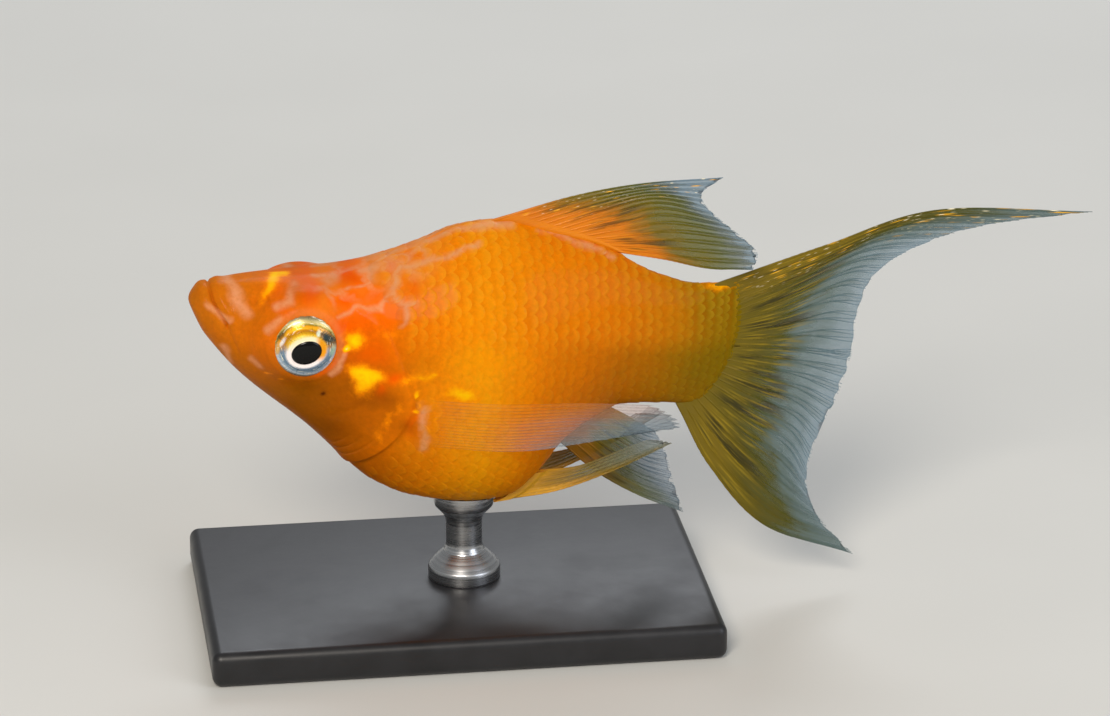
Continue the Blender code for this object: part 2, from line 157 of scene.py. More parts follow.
# The skin: one closed, wet sheet of skin from the lips to the roots of the tail fin, over the head,
# the deep round body and the tail stem. It lies inside the CAD flesh by the depth of the scales.
MM = 0.001
FISH_HEIGHT = 23.5
NOSE_UP = math.radians(3.05)
SKIN_DEPTH = 0.12
NOSE_X = -21.45
NOSE_Z = 4.0
NOSE_ROUND = 1.4
# The body along its length, as (x, height or width) points.
BACK_LINE = (
    (-21.45, 5.2), (-20.0, 5.5), (-17.5, 5.95), (-12.0, 6.4), (-9.0, 6.95), (-6.0, 7.8), (-3.0, 9.0),
    (0.0, 10.4), (3.0, 10.9), (7.4, 9.9), (12.0, 8.6), (17.0, 6.3), (20.0, 5.55), (23.0, 5.7),
)
BELLY_LINE = (
    (-21.45, 2.9), (-20.0, 0.95), (-17.5, -1.9), (-12.0, -6.45), (-6.0, -11.6), (-3.0, -12.8),
    (1.5, -13.3), (5.0, -12.9), (7.4, -11.1), (9.6, -8.2), (12.0, -6.25), (14.0, -5.2), (17.0, -5.1),
    (23.0, -5.6),
)
HALF_WIDTH = (
    (-21.45, 1.6), (-20.0, 2.15), (-17.5, 3.2), (-12.0, 4.75), (-6.0, 6.15), (1.5, 7.15), (5.0, 6.7),
    (9.6, 4.7), (14.0, 2.95), (20.0, 1.6), (23.0, 0.8),
)
WIDEST_HEIGHT = (
    (-21.45, 3.9), (-17.5, 2.0), (-12.0, 0.8), (-6.0, -1.5), (1.5, -3.0), (7.0, -1.5), (14.0, 1.0),
    (23.0, 0.2),
)
NARROWING_ABOVE = ((-21.45, 0.75), (-12.0, 0.8), (-4.0, 1.0), (3.0, 1.2), (23.0, 1.1))
NARROWING_BELOW = ((-21.45, 0.9), (-12.0, 1.1), (-4.0, 0.95), (4.0, 0.9), (10.0, 1.15), (23.0, 1.1))
GILL_X = -3.75
GILL_Z = -2.9
STEM_END_Z = 2.5
STEM_END_CURVE = 0.053
SKIN_AROUND = 280
EYE_BULGE_CENTRE = (-12.4, 3.3, 2.05)
EYE_BULGE_RADII = (4.2, 2.5, 3.8)
EYE_BULGE_BLEND = 0.3
EYE_CENTRE = (-12.4, 4.3, 1.9)
EYE_RADII = (3.0, 1.8, 3.0)
SOCKET_X = (2.5, 2.25)
MOUTH_LINE = ((-20.35, 6.6), (-20.0, 5.4), (-19.75, 4.5), (-19.25, 3.7), (-18.6, 2.75))
# Each nostril's x, height, size and depth.
NOSTRILS = ((-16.6, 4.75, 0.28, 0.2), (-15.5, 5.05, 0.2, 0.12))
# The septum, the line along the flank where the upper and lower muscles meet: (x, height).
SEPTUM = ((-16.0, -0.6), (-8.0, 1.6), (-3.0, 2.35), (1.7, 2.4), (8.6, 1.8), (15.7, 0.9), (23.0, 0.3))


def smooth_line(points, x):
    """Values at x of a smooth curve through (x, value) points that never overshoots them."""
    at, value = np.array(points).T
    step = np.diff(at)
    rise = np.diff(value) / step
    slope = np.zeros(len(at))
    slope[0], slope[-1] = rise[0], rise[-1]
    same_way = rise[1:] * rise[:-1] > 0
    before, after = 2 * step[1:] + step[:-1], step[1:] + 2 * step[:-1]
    left = np.where(same_way, rise[:-1], 1.0)
    right = np.where(same_way, rise[1:], 1.0)
    slope[1:-1] = np.where(same_way, (before + after) / (before / left + after / right), 0.0)
    x = np.clip(np.asarray(x, float), at[0], at[-1])
    i = np.clip(np.searchsorted(at, x) - 1, 0, len(at) - 2)
    t = (x - at[i]) / step[i]
    from_left = value[i] * (1 + 2 * t) * (1 - t) ** 2 + slope[i] * step[i] * t * (1 - t) ** 2
    return from_left + value[i + 1] * t**2 * (3 - 2 * t) - slope[i + 1] * step[i] * t**2 * (1 - t)


def eased(value, start, end):
    """0 at start and 1 at end, eased between them, whichever of the two is larger."""
    t = np.clip((value - start) / (end - start), 0, 1)
    return t * t * (3 - 2 * t)


def hump(away, width):
    """1 in the middle of a soft hump or band, falling off on both sides with distance."""
    return np.exp(-((away / width) ** 2))


def section(x, grow=0.0):
    """The body's top, bottom, half width and widest height at x, grown outwards by grow."""
    ahead = np.clip(1 - (np.asarray(x, float) - NOSE_X) / NOSE_ROUND, 0, 1)
    closing = np.sqrt(1 - ahead**2)
    return [
        nose + (smooth_line(line, x) + more - nose) * closing
        for line, more, nose in (
            (BACK_LINE, grow, NOSE_Z), (BELLY_LINE, -grow, NOSE_Z), (HALF_WIDTH, grow, 0),
            (WIDEST_HEIGHT, 0, NOSE_Z),
        )
    ]


def outline(x, angle, grow=0.0):
    """Y and Z on the body's surface at x. The angle is -90 degrees at the belly and 90 at the back."""
    top, bottom, half, middle = section(x, grow)
    across, rise = np.cos(angle), np.sin(angle)
    power = np.where(rise > 0, smooth_line(NARROWING_ABOVE, x), smooth_line(NARROWING_BELOW, x))
    y = -half * np.sign(across) * np.abs(across) ** power
    return y, middle + np.where(rise > 0, (top - middle) * rise, (middle - bottom) * rise)


def side_at(x, z):
    """Half width of the body at x and z, with the bulge round the eye."""
    top, bottom, half, middle = section(x)
    above = z > middle
    rise = (z - middle) / np.where(above, top - middle, middle - bottom)
    power = np.where(above, smooth_line(NARROWING_ABOVE, x), smooth_line(NARROWING_BELOW, x))
    flank = half * np.sqrt(np.clip(1 - rise**2, 0, 1)) ** power
    (at_x, at_y, at_z), (length, depth, height) = EYE_BULGE_CENTRE, EYE_BULGE_RADII
    inside = 1 - ((x - at_x) / length) ** 2 - ((z - at_z) / height) ** 2
    return np.maximum(flank, (at_y + depth * np.sqrt(np.clip(inside, 0, 1))) * (inside > 0))


def under_at(x, y):
    """Height of the belly's surface at x and y."""
    bottom, half, middle = section(x)[1:]
    across = np.clip(np.abs(y) / half, 0, 1) ** (1 / smooth_line(NARROWING_BELOW, x))
    return middle - (middle - bottom) * np.sqrt(1 - across**2)


def gill_rim(z):
    """How far ahead of its rearmost point the rim of the gill cover lies at height z."""
    return -0.179 * np.clip(z - GILL_Z, 0, None) ** 1.4 - 0.15 * np.clip(GILL_Z - z, 0, None) ** 1.8


def stem_rim(z):
    """How far ahead of the stem's end the roots of the tail fin lie at height z."""
    return -STEM_END_CURVE * (z - STEM_END_Z) ** 2


def to_world(points):
    """Metres in the model's frame, from the fish's own millimetres."""
    x, y, z = np.moveaxis(np.asarray(points, float), -1, 0)
    cos, sin = math.cos(NOSE_UP), math.sin(NOSE_UP)
    return np.stack([x * cos + z * sin, y, z * cos - x * sin + FISH_HEIGHT], -1) * MM


def to_fish(points):
    """The fish's own millimetres, from metres in the model's frame."""
    x, y, z = np.moveaxis(np.asarray(points, float), -1, 0) / MM
    z = z - FISH_HEIGHT
    cos, sin = math.cos(NOSE_UP), math.sin(NOSE_UP)
    return np.stack([x * cos - z * sin, y, x * sin + z * cos], -1)


def bump_at(points, x, z, width, height, side_weight=0.3):
    """A round swelling of the given half widths over one spot of each side."""
    y = side_at(x, z)
    away = (points[..., 0] - x) ** 2 / width**2 + (points[..., 2] - z) ** 2 / height**2
    return np.exp(-away - (side_weight * (np.abs(points[..., 1]) - y) / width) ** 2)


def carving(points):
    """How far the skin stands out, in millimetres, at each point of its smooth form."""
    x, y, z = points[..., 0], points[..., 1], points[..., 2]
    mouth = np.array(MOUTH_LINE)
    from_mouth = x - np.interp(z, mouth[::-1, 1], mouth[::-1, 0])
    below_corner = np.clip(mouth[-1, 1] - z, 0, None)
    out = 0.15 * np.exp(-(((np.abs(from_mouth) - 0.7) / 0.5) ** 2) - (below_corner / 1.4) ** 2)
    slit = 0.34 - 0.2 * eased(z, 4.9, 5.5)
    out -= slit * np.exp(-((from_mouth / 0.11) ** 2) - (below_corner / 0.3) ** 2)
    # The crease that runs down and back from each corner of the mouth.
    crease = x - np.interp(z, (-0.2, 1.2, 2.75), (-17.5, -17.9, -18.6))
    out -= 0.09 * hump(crease, 0.16) * eased(z, -0.4, 0.8) * eased(z, 3.3, 2.6)
    # Two nostrils on each side, pits with a soft raised edge.
    for at_x, at_z, size, depth in NOSTRILS:
        away = np.hypot(x - at_x, z - at_z) + 0.25 * (np.abs(y) < 1)
        out += 0.04 * hump(away - 1.6 * size, 0.16) - depth * hump(away, size)
    # The gill cover flares towards its rim, and behind the rim lies a narrow crease.
    from_rim = x - GILL_X - gill_rim(z)
    flare = 0.14 * hump(from_rim, 1.5) * eased(from_rim, 0.2, -0.1)
    out += (flare - 0.06 * hump(from_rim - 0.4, 0.45)) * eased(z, 5.6, 3.0)
    # The rear edge of the cheek's own plate, and the folds of skin under the gill cover.
    from_cheek = np.hypot(x + 11.0, z - 0.2) - 4.7
    out -= 0.08 * hump(from_cheek, 0.4) * np.clip((x + 11.0) / 2, 0, 1)
    for ahead in (1.5, 2.5, 3.5):
        out -= 0.05 * hump(from_rim + ahead, 0.16) * eased(z, -5.5, -7.5) * eased(np.abs(y), 0.4, 1.2)
    # The pads that the pectoral fins grow from, and the low ridges under the fins of the midline.
    out += 0.3 * bump_at(points, -2.2, -4.2, 0.9, 2.6, 0.0) * (np.abs(y) > 3) * eased(from_rim, 0.0, 0.6)
    ridge = 0.18 * hump(y, 0.55)
    out += ridge * eased(x, 3.2, 4.6) * eased(x, 14.6, 13.2) * (z > 0)
    out += ridge * eased(x, 9.0, 10.0) * eased(x, 14.4, 13.4) * (z < 0)
    # The soft rim of each eye socket.
    from_eye = np.hypot(x - EYE_CENTRE[0], z - EYE_CENTRE[2])
    return out + 0.07 * hump(from_eye - 3.05, 0.3) * (np.abs(y) > 2.0)


def skin_rows():
    """The skin's points, in rings from the nose to the roots of the tail fin."""
    nose = NOSE_X + NOSE_ROUND * (1 - np.cos(np.radians(np.linspace(0, 88, 20))))
    # The rings lie closest where the lips, the eyes and the thin edge at the tail are.
    runs = ((nose[-1] + 0.075, -17.0, 0.075), (-17.0, -3.0, 0.11), (-3.0, 21.0, 0.24))
    base = np.concatenate([nose] + [np.arange(*run) for run in runs] + [np.linspace(21.0, 24.1, 32)])[:, None]
    angle = np.radians(-90 + 360 * np.arange(SKIN_AROUND) / SKIN_AROUND)[None, :]
    # Each ring bends towards the curve of the gill cover's rim or of the tail fin's roots.
    to_gill = np.minimum(np.clip((base + 15.0) / 11.25, 0, 1), np.clip((5.4 - base) / 9.15, 0, 1))
    to_tail = np.clip((base - 14.6) / 8.1, 0, 1)
    x = base + 0 * angle
    for _ in range(40):
        z = outline(x, angle)[1]
        x = 0.5 * (x + base + to_gill * gill_rim(z) + to_tail * stem_rim(z))
        x = np.maximum(x, NOSE_X)
    y, z = outline(x, angle, -SKIN_DEPTH)
    # Over the roots of the tail fin the flesh thins to an edge.
    thin = np.clip((base - 19.0) / 5.1, 0, 1)
    rows = np.stack([x, y * (1 - thin**1.6), z], -1)
    for side in (-1, 1):
        centre = np.array(EYE_BULGE_CENTRE) * (1, side, 1)
        distance = np.linalg.norm((rows - centre) / (np.array(EYE_BULGE_RADII) - SKIN_DEPTH), axis=-1)
        wanted = 0.5 * (distance + 1 + np.hypot(distance - 1, EYE_BULGE_BLEND))
        rows = centre + (rows - centre) * (wanted / distance)[..., None]
    outward = np.cross(np.gradient(rows, axis=0), np.roll(rows, -1, axis=1) - np.roll(rows, 1, axis=1))
    size = np.linalg.norm(outward, axis=-1, keepdims=True)
    outward = np.where(size > 1e-9, outward / np.maximum(size, 1e-9), (-1.0, 0.0, 0.0))
    # On the thin edge at the tail nothing stands out.
    rows = rows + outward * (carving(rows) * (1 - thin))[..., None]
    # Each eye's socket sinks behind the eyeball.
    from_eye = np.hypot(rows[..., 0] - EYE_CENTRE[0], rows[..., 2] - EYE_CENTRE[2])
    ball = EYE_CENTRE[1] + EYE_RADII[1] * np.sqrt(np.clip(1 - (from_eye / EYE_RADII[0]) ** 2, 0, 1)) - 0.4
    depth = np.abs(rows[..., 1])
    sunk = depth + (np.minimum(depth, ball) - depth) * eased(from_eye, *SOCKET_X) * (depth > 2.0)
    rows[..., 1] = np.sign(rows[..., 1]) * sunk
    return rows


def sheet_mesh(name, rows, closed_around):
    """A mesh through rows of world points, with the unwrap that its rows and columns give."""
    count, around = rows.shape[:2]
    i = np.arange(count - 1)[:, None]
    j = np.arange(around if closed_around else around - 1)[None, :]
    k = (j + 1) % around
    corners = np.stack([i * around + j, i * around + k, (i + 1) * around + k, (i + 1) * around + j], -1)
    mesh = bpy.data.meshes.new(name)
    mesh.from_pydata(rows.reshape(-1, 3).tolist(), [], corners.reshape(-1, 4).tolist())
    along, ahead = i / (count - 1) + 0 * j, (i + 1) / (count - 1) + 0 * j
    left, right = j / j.size + 0 * i, (j + 1) / j.size + 0 * i
    unwrap = np.stack([along, left, along, right, ahead, right, ahead, left], -1)
    mesh.uv_layers.new(name="OFBake").data.foreach_set("uv", unwrap.ravel())
    return mesh


def store(mesh, name, values, kind="FLOAT"):
    """Stores one number, vector or turn for each point of a mesh."""
    field = "vector" if kind == "FLOAT_VECTOR" else "value"
    mesh.attributes.new(name, kind, "POINT").data.foreach_set(field, np.ravel(values))


def welded(mesh, reach=1e-6, filled=False):
    """Merges points that coincide, as at a pole, may fill open ends, and turns the faces outwards."""
    work = bmesh.new()
    work.from_mesh(mesh)
    bmesh.ops.remove_doubles(work, verts=work.verts, dist=reach)
    if filled:
        bmesh.ops.holes_fill(work, edges=[e for e in work.edges if e.is_boundary], sides=0)
    bmesh.ops.recalc_face_normals(work, faces=work.faces)
    work.to_mesh(mesh)
    work.free()
    mesh.shade_smooth()
    return mesh


def add_piece(name, mesh, slot, *nodes):
    """Shows a mesh as a piece of the model, in place of the CAD nodes that it stands for."""
    piece = show(name, mesh)
    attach(piece, "root")
    if nodes:
        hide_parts(*nodes)
    return piece


# The markings of the skin, in millimetres and the same on both sides. A veil of mauve lies between the
# patches of orange, as runs of strokes: (x, z, width of the stroke to the next spot) and so on.
VEIL_RUNS = (
    ((-18.5, 5.8, 0.4), (-18.0, 5.2, 0.46), (-17.2, 3.9, 0)), ((-20.0, 4.1, 0.26), (-18.5, 3.2, 0)),
    ((-13.4, 5.9, 0.34), (-13.6, 5.3, 0.26), (-14.8, 4.8, 0)), ((-15.4, 3.2, 0.3), (-14.7, 4.0, 0)),
    ((-9.3, 1.3, 0.22), (-9.5, 0.3, 0.2), (-10.4, -0.7, 0)), ((-18.8, 0.8, 0.3), (-18.1, -0.9, 0)),
    ((-16.5, 0.1, 0.3), (-15.8, -0.2, 0)), ((-10.6, 6.3, 0.4), (-9.8, 6.6, 0)),
    ((-11.5, 6.4, 0.22), (-10.6, 6.5, 0)), ((-11.2, 5.7, 0.12), (-10.4, 5.9, 0)),
    ((-10.3, 5.9, 0.1), (-8.5, 6.0, 0.1), (-7.3, 6.5, 0)), ((-7.6, 7.1, 0.38), (-6.4, 7.4, 0)),
    ((-7.1, 6.8, 0.34), (-6.9, 7.3, 0)),
    ((-5.5, 6.1, 0.28), (-5.1, 6.9, 0.26), (-4.6, 7.7, 0.26), (-3.2, 7.9, 0.26), (-2.1, 8.4, 0.18),
      (-0.8, 8.8, 0.16), (0.6, 9.3, 0.16), (1.8, 9.7, 0)),
    ((-5.5, 6.1, 0.24), (-5.3, 5.7, 0.24), (-4.5, 5.1, 0.2), (-4.4, 4.5, 0.14), (-4.5, 3.6, 0)),
    ((-5.6, 5.9, 0.16), (-6.5, 4.9, 0.22), (-7.4, 4.7, 0.16), (-8.4, 4.8, 0.14), (-9.1, 4.5, 0.14),
      (-10.0, 4.2, 0)),
    ((-4.5, 5.1, 0.16), (-3.4, 5.5, 0)),
    ((-6.9, 7.4, 0.2), (-5.2, 8.1, 0.24), (-3.2, 8.9, 0.24), (-1.5, 9.7, 0.22), (-0.1, 10.3, 0.22),
      (1.7, 10.6, 0.32), (4.3, 10.7, 0)),
    ((6.6, 10.1, 0.18), (8.2, 9.7, 0.22), (9.8, 9.2, 0.24), (11.2, 8.7, 0.18), (12.8, 8.0, 0)),
    ((-3.0, -2.9, 0.3), (-2.8, -4.1, 0.18), (-2.6, -5.1, 0)), ((-2.7, -5.3, 0.3), (-2.7, -6.4, 0)),
)
# Patches where bright gold shows through, the last of them, along the top edge of the tail stem, partly
# a painted highlight: (x, z, half length, half height, strength).
GILT_SPOTS = (
    (-8.5, 2.4, 0.85, 0.7, 0.85), (-9.25, 1.75, 0.26, 0.26, 1.3), (-8.3, -0.2, 0.8, 0.7, 0.72),
    (-6.9, -0.5, 0.9, 0.55, 0.72), (-7.6, -1.2, 0.8, 1.1, 0.75), (-4.4, -0.8, 0.9, 0.36, 0.5),
    (-3.2, -0.4, 0.9, 0.32, 0.52), (-2.3, 0.0, 0.7, 0.24, 0.5), (-3.3, -2.1, 0.22, 0.55, 0.9),
    (-3.5, -3.4, 0.36, 0.18, 0.9), (-3.2, -2.9, 0.15, 0.15, 0.9), (-1.8, -3.7, 0.16, 0.16, 0.9),
    (-4.9, -3.1, 0.36, 0.6, 0.34), (-5.6, -4.2, 0.36, 0.9, 0.36), (-6.3, -5.8, 0.36, 0.8, 0.34),
    (0.3, -1.6, 1.7, 0.7, 0.68), (1.8, 0.8, 2.6, 1.3, 0.34), (0.6, 4.0, 2.4, 1.5, 0.34),
    (-5.6, 3.0, 1.0, 0.5, 0.28), (-15.2, -0.9, 0.36, 0.18, 0.5), (-14.3, -1.4, 0.3, 0.16, 0.45),
    (21.9, 5.3, 1.4, 0.4, 0.55),
)
# A crescent of gold crosses the crown on the right side alone: (x, z, width and strength to the next).
BROW_GILT = (
    (-13.7, 6.4, 0.5, 0.66), (-14.3, 6.28, 0.48, 0.76), (-14.8, 6.08, 0.44, 0.68), (-15.2, 5.78, 0.4, 0.58),
    (-15.5, 5.4, 0.34, 0.45), (-15.7, 4.9, 0.0, 0.0),
)
# Patches where the flesh is thin and dark, which also lay painted shadow under each eye and painted
# shade under the gill cover, with one small black dot of pigment on the cheek, and patches of deeper
# orange, both given as the gold is.
SHADE_SPOTS = (
    (-6.0, -2.2, 1.3, 0.7, 0.42), (-7.2, -2.9, 1.2, 0.6, 0.26), (-4.1, -4.7, 0.8, 0.7, 0.4),
    (-9.8, -5.6, 1.2, 1.1, 0.36), (-12.0, -1.9, 1.2, 0.5, 0.2), (-10.7, -2.6, 0.17, 0.17, 1.4),
)
FLUSH_SPOTS = (
    (-8.7, 6.6, 1.0, 0.6, 1.1), (-12.0, 5.8, 0.9, 0.7, 0.9), (-9.1, 5.3, 1.3, 0.55, 0.9),
    (-6.8, 5.8, 0.9, 0.7, 0.65), (-5.3, 7.5, 0.5, 0.4, 0.9), (-5.6, 4.3, 0.7, 1.0, 0.35),
    (-4.0, 6.5, 0.7, 0.7, 0.6), (-9.3, 3.5, 1.2, 0.7, 0.8), (-14.4, 4.7, 0.7, 0.35, 0.5),
    (-14.7, 5.6, 0.7, 0.5, 0.5), (-3.6, 8.3, 0.9, 0.25, 0.5), (-6.9, 1.2, 1.6, 1.0, 0.5),
    (-12.4, 6.6, 1.0, 0.4, 0.8), (-9.0, 7.3, 1.2, 0.2, 0.5), (-5.4, -0.5, 0.8, 0.5, 0.9),
    (-6.2, -1.6, 0.4, 0.6, 0.7), (-3.6, -4.6, 0.5, 1.4, 0.5),
)
MARKINGS = ("veil", "gilt", "shade", "flush", "crown", "upper")


def stroke_at(points, start, end, width):
    """1 on the line between two spots of the flank, falling to 0 at about twice its width."""
    start, end = (np.array((x, side_at(x, z) * 0.6, z)) for x, z in (start[:2], end[:2]))
    at = np.stack([points[:, 0], np.abs(points[:, 1]) * 0.6, points[:, 2]], 1)
    line = end - start
    part = np.clip((at - start) @ line / (line @ line), 0, 1)
    return eased(np.linalg.norm(at - start - part[:, None] * line, axis=1), 1.9 * width, 0.0)


def patches(points, spots):
    """Several soft patches, which run together where they meet, at each point."""
    found = np.zeros(len(points))
    for x, z, length, height, strength in spots:
        found += (1.4 - found) / 1.4 * strength * bump_at(points, x, z, length, height)
    return found


def mark(mesh):
    """Stores the markings on a mesh's points, for the nodes of the skin and of the scales."""
    spots = np.empty(len(mesh.vertices) * 3)
    mesh.vertices.foreach_get("co", spots)
    points = to_fish(spots.reshape(-1, 3))
    x, y, z = points.T
    # The strokes waver a little, so that their edges aren't straight.
    wavered = points.copy()
    wavered[:, 0] += 0.14 * np.sin(2.3 * z + 1.1 * y) + 0.05 * np.sin(5.1 * z + 2.0 * x)
    wavered[:, 2] += 0.12 * np.sin(2.1 * x + 0.9 * y) + 0.05 * np.sin(4.7 * x + 1.7 * y)
    veil = np.zeros(len(x))
    for run in VEIL_RUNS:
        for start, end in zip(run, run[1:]):
            veil = np.maximum(veil, stroke_at(wavered, start, end, start[2]))
    from_eye = np.hypot(x - EYE_CENTRE[0], z - EYE_CENTRE[2])
    ring = hump(from_eye - 2.8, 0.32) * (np.abs(y) > 3)
    veil = np.maximum(veil, ring * (0.02 + 0.24 * eased(z, 2.8, 4.6) + 0.3 * eased(x, -11.0, -9.6)))
    gilt = patches(wavered, GILT_SPOTS)
    for start, end in zip(BROW_GILT, BROW_GILT[1:]):
        arc = stroke_at(wavered, start, end, start[2]) * eased(y, 0.7, 0.2)
        gilt = np.maximum(gilt, start[3] * arc)
    # Painted shade: a dark band in the crease behind the gill cover's rim, and a darker band over the ridge
    # of the crown that takes down the light falling on it from above.
    rim_shade = 0.14 * hump(x - GILL_X - gill_rim(z) - 0.25, 0.25) * eased(z, 4.0, 0.0)
    under_back = section(x)[0] - z
    ridge = 0.2 * eased(under_back, 1.3, 0.4) * eased(x, -14.4, -13.0) * eased(x, -6.0, -9.5)
    shade = np.maximum(patches(wavered, SHADE_SPOTS), np.maximum(rim_shade, ridge))
    # A thin orange lid lies under and behind the eye.
    lid = 0.6 * hump(from_eye - 2.72, 0.18) * eased(z, 1.5, 0.0) * eased(x, -12.5, -11.0)
    flush = np.maximum(patches(wavered, FLUSH_SPOTS), lid)
    crown = eased(under_back, 3.6, 1.0) * eased(x, -13.5, -11.0) * eased(x, 0.0, -3.0)
    # How far a point lies above the septum, eased over a band that widens towards the head.
    soft = 0.9 + 1.7 * eased(x, 2.0, -9.0)
    upper = np.clip(0.5 + (z - smooth_line(SEPTUM, x)) / (2 * soft), 0, 1)
    for name, values in zip(MARKINGS, (veil, gilt, shade, flush, crown, upper)):
        store(mesh, name, values)


def fish_place(add):
    """The fish's own millimetres at each point, for patterns that keep their real size."""
    move = [add("TexCoord").outputs["Object"], (0, 0, FISH_HEIGHT * MM), (0, NOSE_UP, 0), (MM,) * 3]
    return add("Mapping TEXTURE", move)


# Molly skin: see-through outer skin over orange pigment. It shines as if wet, with patches of
# mirror-like gold, a mauve veil on the head and back, and brown flesh where the pigment is thin, a brown
# that also lays painted shade. Its ground colour runs from snout to tail, above and below the septum.
# It darkens towards the tail, and below the septum at the rear, partly as the stem's own olive and partly
# as painted shade where the light falls off. Low on the throat it is painted darker as shade.
UPPER_COLOURS = (
    (0.0, "#BE6A10"), (0.1, "#CE6C0C"), (0.2, "#E26A06"), (0.3, "#F06204"), (0.4, "#F27404"),
    (0.52, "#F28A06"), (0.62, "#EC7C04"), (0.72, "#E27404"), (0.8, "#D27006"), (0.88, "#B26C06"),
    (0.94, "#8E6606"), (1.0, "#746006"),
)
LOWER_COLOURS = (
    (0.0, "#BE6A0C"), (0.1, "#AA5E06"), (0.22, "#965204"), (0.3, "#AC5804"), (0.36, "#CC6804"),
    (0.43, "#EA7E06"), (0.52, "#F29408"), (0.61, "#E87A04"), (0.7, "#D26C04"), (0.8, "#B26406"),
    (0.88, "#946206"), (0.94, "#806006"), (1.0, "#705E06"),
)
# Clouds 3 mm across, grains of 0.4 mm, pores of 0.15 mm and a sway of 1.5 mm: (scale, detail).
SKIN_NOISES = ((0.3, 3.0), (2.6, 4.0), (7.0, 3.0), (0.7, 2.0))
PALE_ORANGE, DEEP_ORANGE, MAUVE, SHADE_BROWN = "#F6982C", "#F05A00", "#E09A6C", "#5A2803"


def skin_material(name, scaled):
    """The skin's material, or the scales', with the redder middle and pale edge of each scale."""
    material, add, shader = new_material(name)
    place = fish_place(add)
    veil, gilt, shade, flush, crown, upper = (
        add("Attribute", attribute_name=key).outputs["Fac"] for key in MARKINGS
    )
    cloud, grain, pores, sway = (
        add("TexNoise", {"Vector": place, "Scale": scale, "Detail": detail, "Roughness": 0.6})
        for scale, detail in SKIN_NOISES
    )
    wander = add("Math MULTIPLY_ADD", [cloud, 5.0, add("SeparateXYZ", [place])])
    along = add("MapRange", [wander, -19.5, 26.5])
    above, below = (add("ValToRGB", [along], stops) for stops in (UPPER_COLOURS, LOWER_COLOURS))
    body = add("Mix RGBA", {0: upper, 6: below, 7: above})
    tint = add("MapRange", [grain, 0.3, 0.7, 0.9, 1.08])
    body = add("VectorMath SCALE", {0: body, "Scale": tint})
    # A net of pale skin with 3 mm meshes covers the crown, round patches of deeper orange.
    bent = add("VectorMath MULTIPLY_ADD", [sway, (1.4, 1.4, 1.4), place])
    net = add("TexVoronoi", {"Vector": bent, "Scale": 0.36}, feature="DISTANCE_TO_EDGE")
    net = add("MapRange SMOOTHSTEP", [net, 0.16, 0.0, 0.0, 0.6])
    top = add("Math POWER", [crown, 4.0])
    net = add("Math MULTIPLY", [net, top])
    veil = add("Math MAXIMUM", [veil, net])
    worn = add("MapRange", [grain, 0.3, 0.6, 0.5, 0.8])
    veil = add("Math MULTIPLY", [veil, worn])
    pale = add("Math MULTIPLY", [crown, 0.4])
    # The brown cover lays painted shade as well as the dark of thin flesh.
    covers = [(pale, PALE_ORANGE), (flush, DEEP_ORANGE), (veil, MAUVE), (shade, SHADE_BROWN)]
    if scaled:
        # Strong over the upper flank and faint below, and clearer in some patches than in others.
        spot = add("SeparateXYZ", [add("Attribute", attribute_name="scale_place").outputs["Vector"]])
        strength = add("MapRange", [upper, 0.0, 1.0, 0.06, 0.19])
        patchy = add("MapRange", [cloud, 0.35, 0.6, 0.4, 1.1])
        strength = add("Math MULTIPLY", [strength, patchy])
        rings = []
        for start, end, colour in ((0.8, 0.45, "#CC4A02"), (0.5, 0.98, "#F8B028")):
            part = add("MapRange SMOOTHSTEP", [spot, start, end])
            rings.append((add("Math MULTIPLY", [part, strength]), colour))
        covers = rings + covers
    # The gold is brightest in the middle of each patch and ends in loose grains.
    broken = add("Math MULTIPLY_ADD", [grain, 0.5, gilt])
    for start, end, colour in ((0.35, 0.85, "#FA8C04"), (0.6, 1.15, "#FFCC06"), (1.3, 1.6, "#FFF6C0")):
        covers.append((add("MapRange", [broken, start, end]), colour))
    for cover, colour in covers:
        body = add("Mix RGBA", {0: cover, 6: body, 7: colour})
    finish = {
        "Base Color": body,
        "Roughness": add("MapRange", [grain, 0.3, 0.7, 0.34, 0.48]),
        "Normal": add("Bump", {"Height": pores, "Strength": 0.3, "Distance": 0.00004}),
        "Specular IOR Level": 0.015,
        "Specular Tint": "#FFB468",
        "Coat Weight": 0.06,
        "Coat Roughness": 0.1,
        "Coat IOR": 1.36,
        "Subsurface Weight": 0.18,
        "Subsurface Radius": (1.0, 0.4, 0.12),
        "Subsurface Scale": 0.8 * MM,
    }
    feed(shader, finish)
    return material


mesh = welded(sheet_mesh("skin", to_world(skin_rows()), True))
mark(mesh)
mesh.materials.append(skin_material("wet molly skin", False))
skin = add_piece("skin", mesh, "skin", "head", "torso", "tail_stem")

# The scales: thin, clear, rounded plates of bone that grow from pockets in the skin, in upright rows
# about 0.9 mm apart. Each overlaps the next like a roof tile, with its free edge towards the tail.
SCALE_ROW_STEP = 0.9
SCALE_LENGTH = 1.76
SCALE_PITCH = ((-10.0, 1.1), (2.0, 1.3), (12.0, 1.15), (22.0, 0.75))
SCALE_HALF_WIDTH = 0.66
SCALE_RISE = 0.065
SCALE_SIZES = (0.95, 1.05)
SCALE_SEED = 7
SCALE_BAKE_PATCH = 0.003
SIDES = ((-1, "left"), (1, "right"))


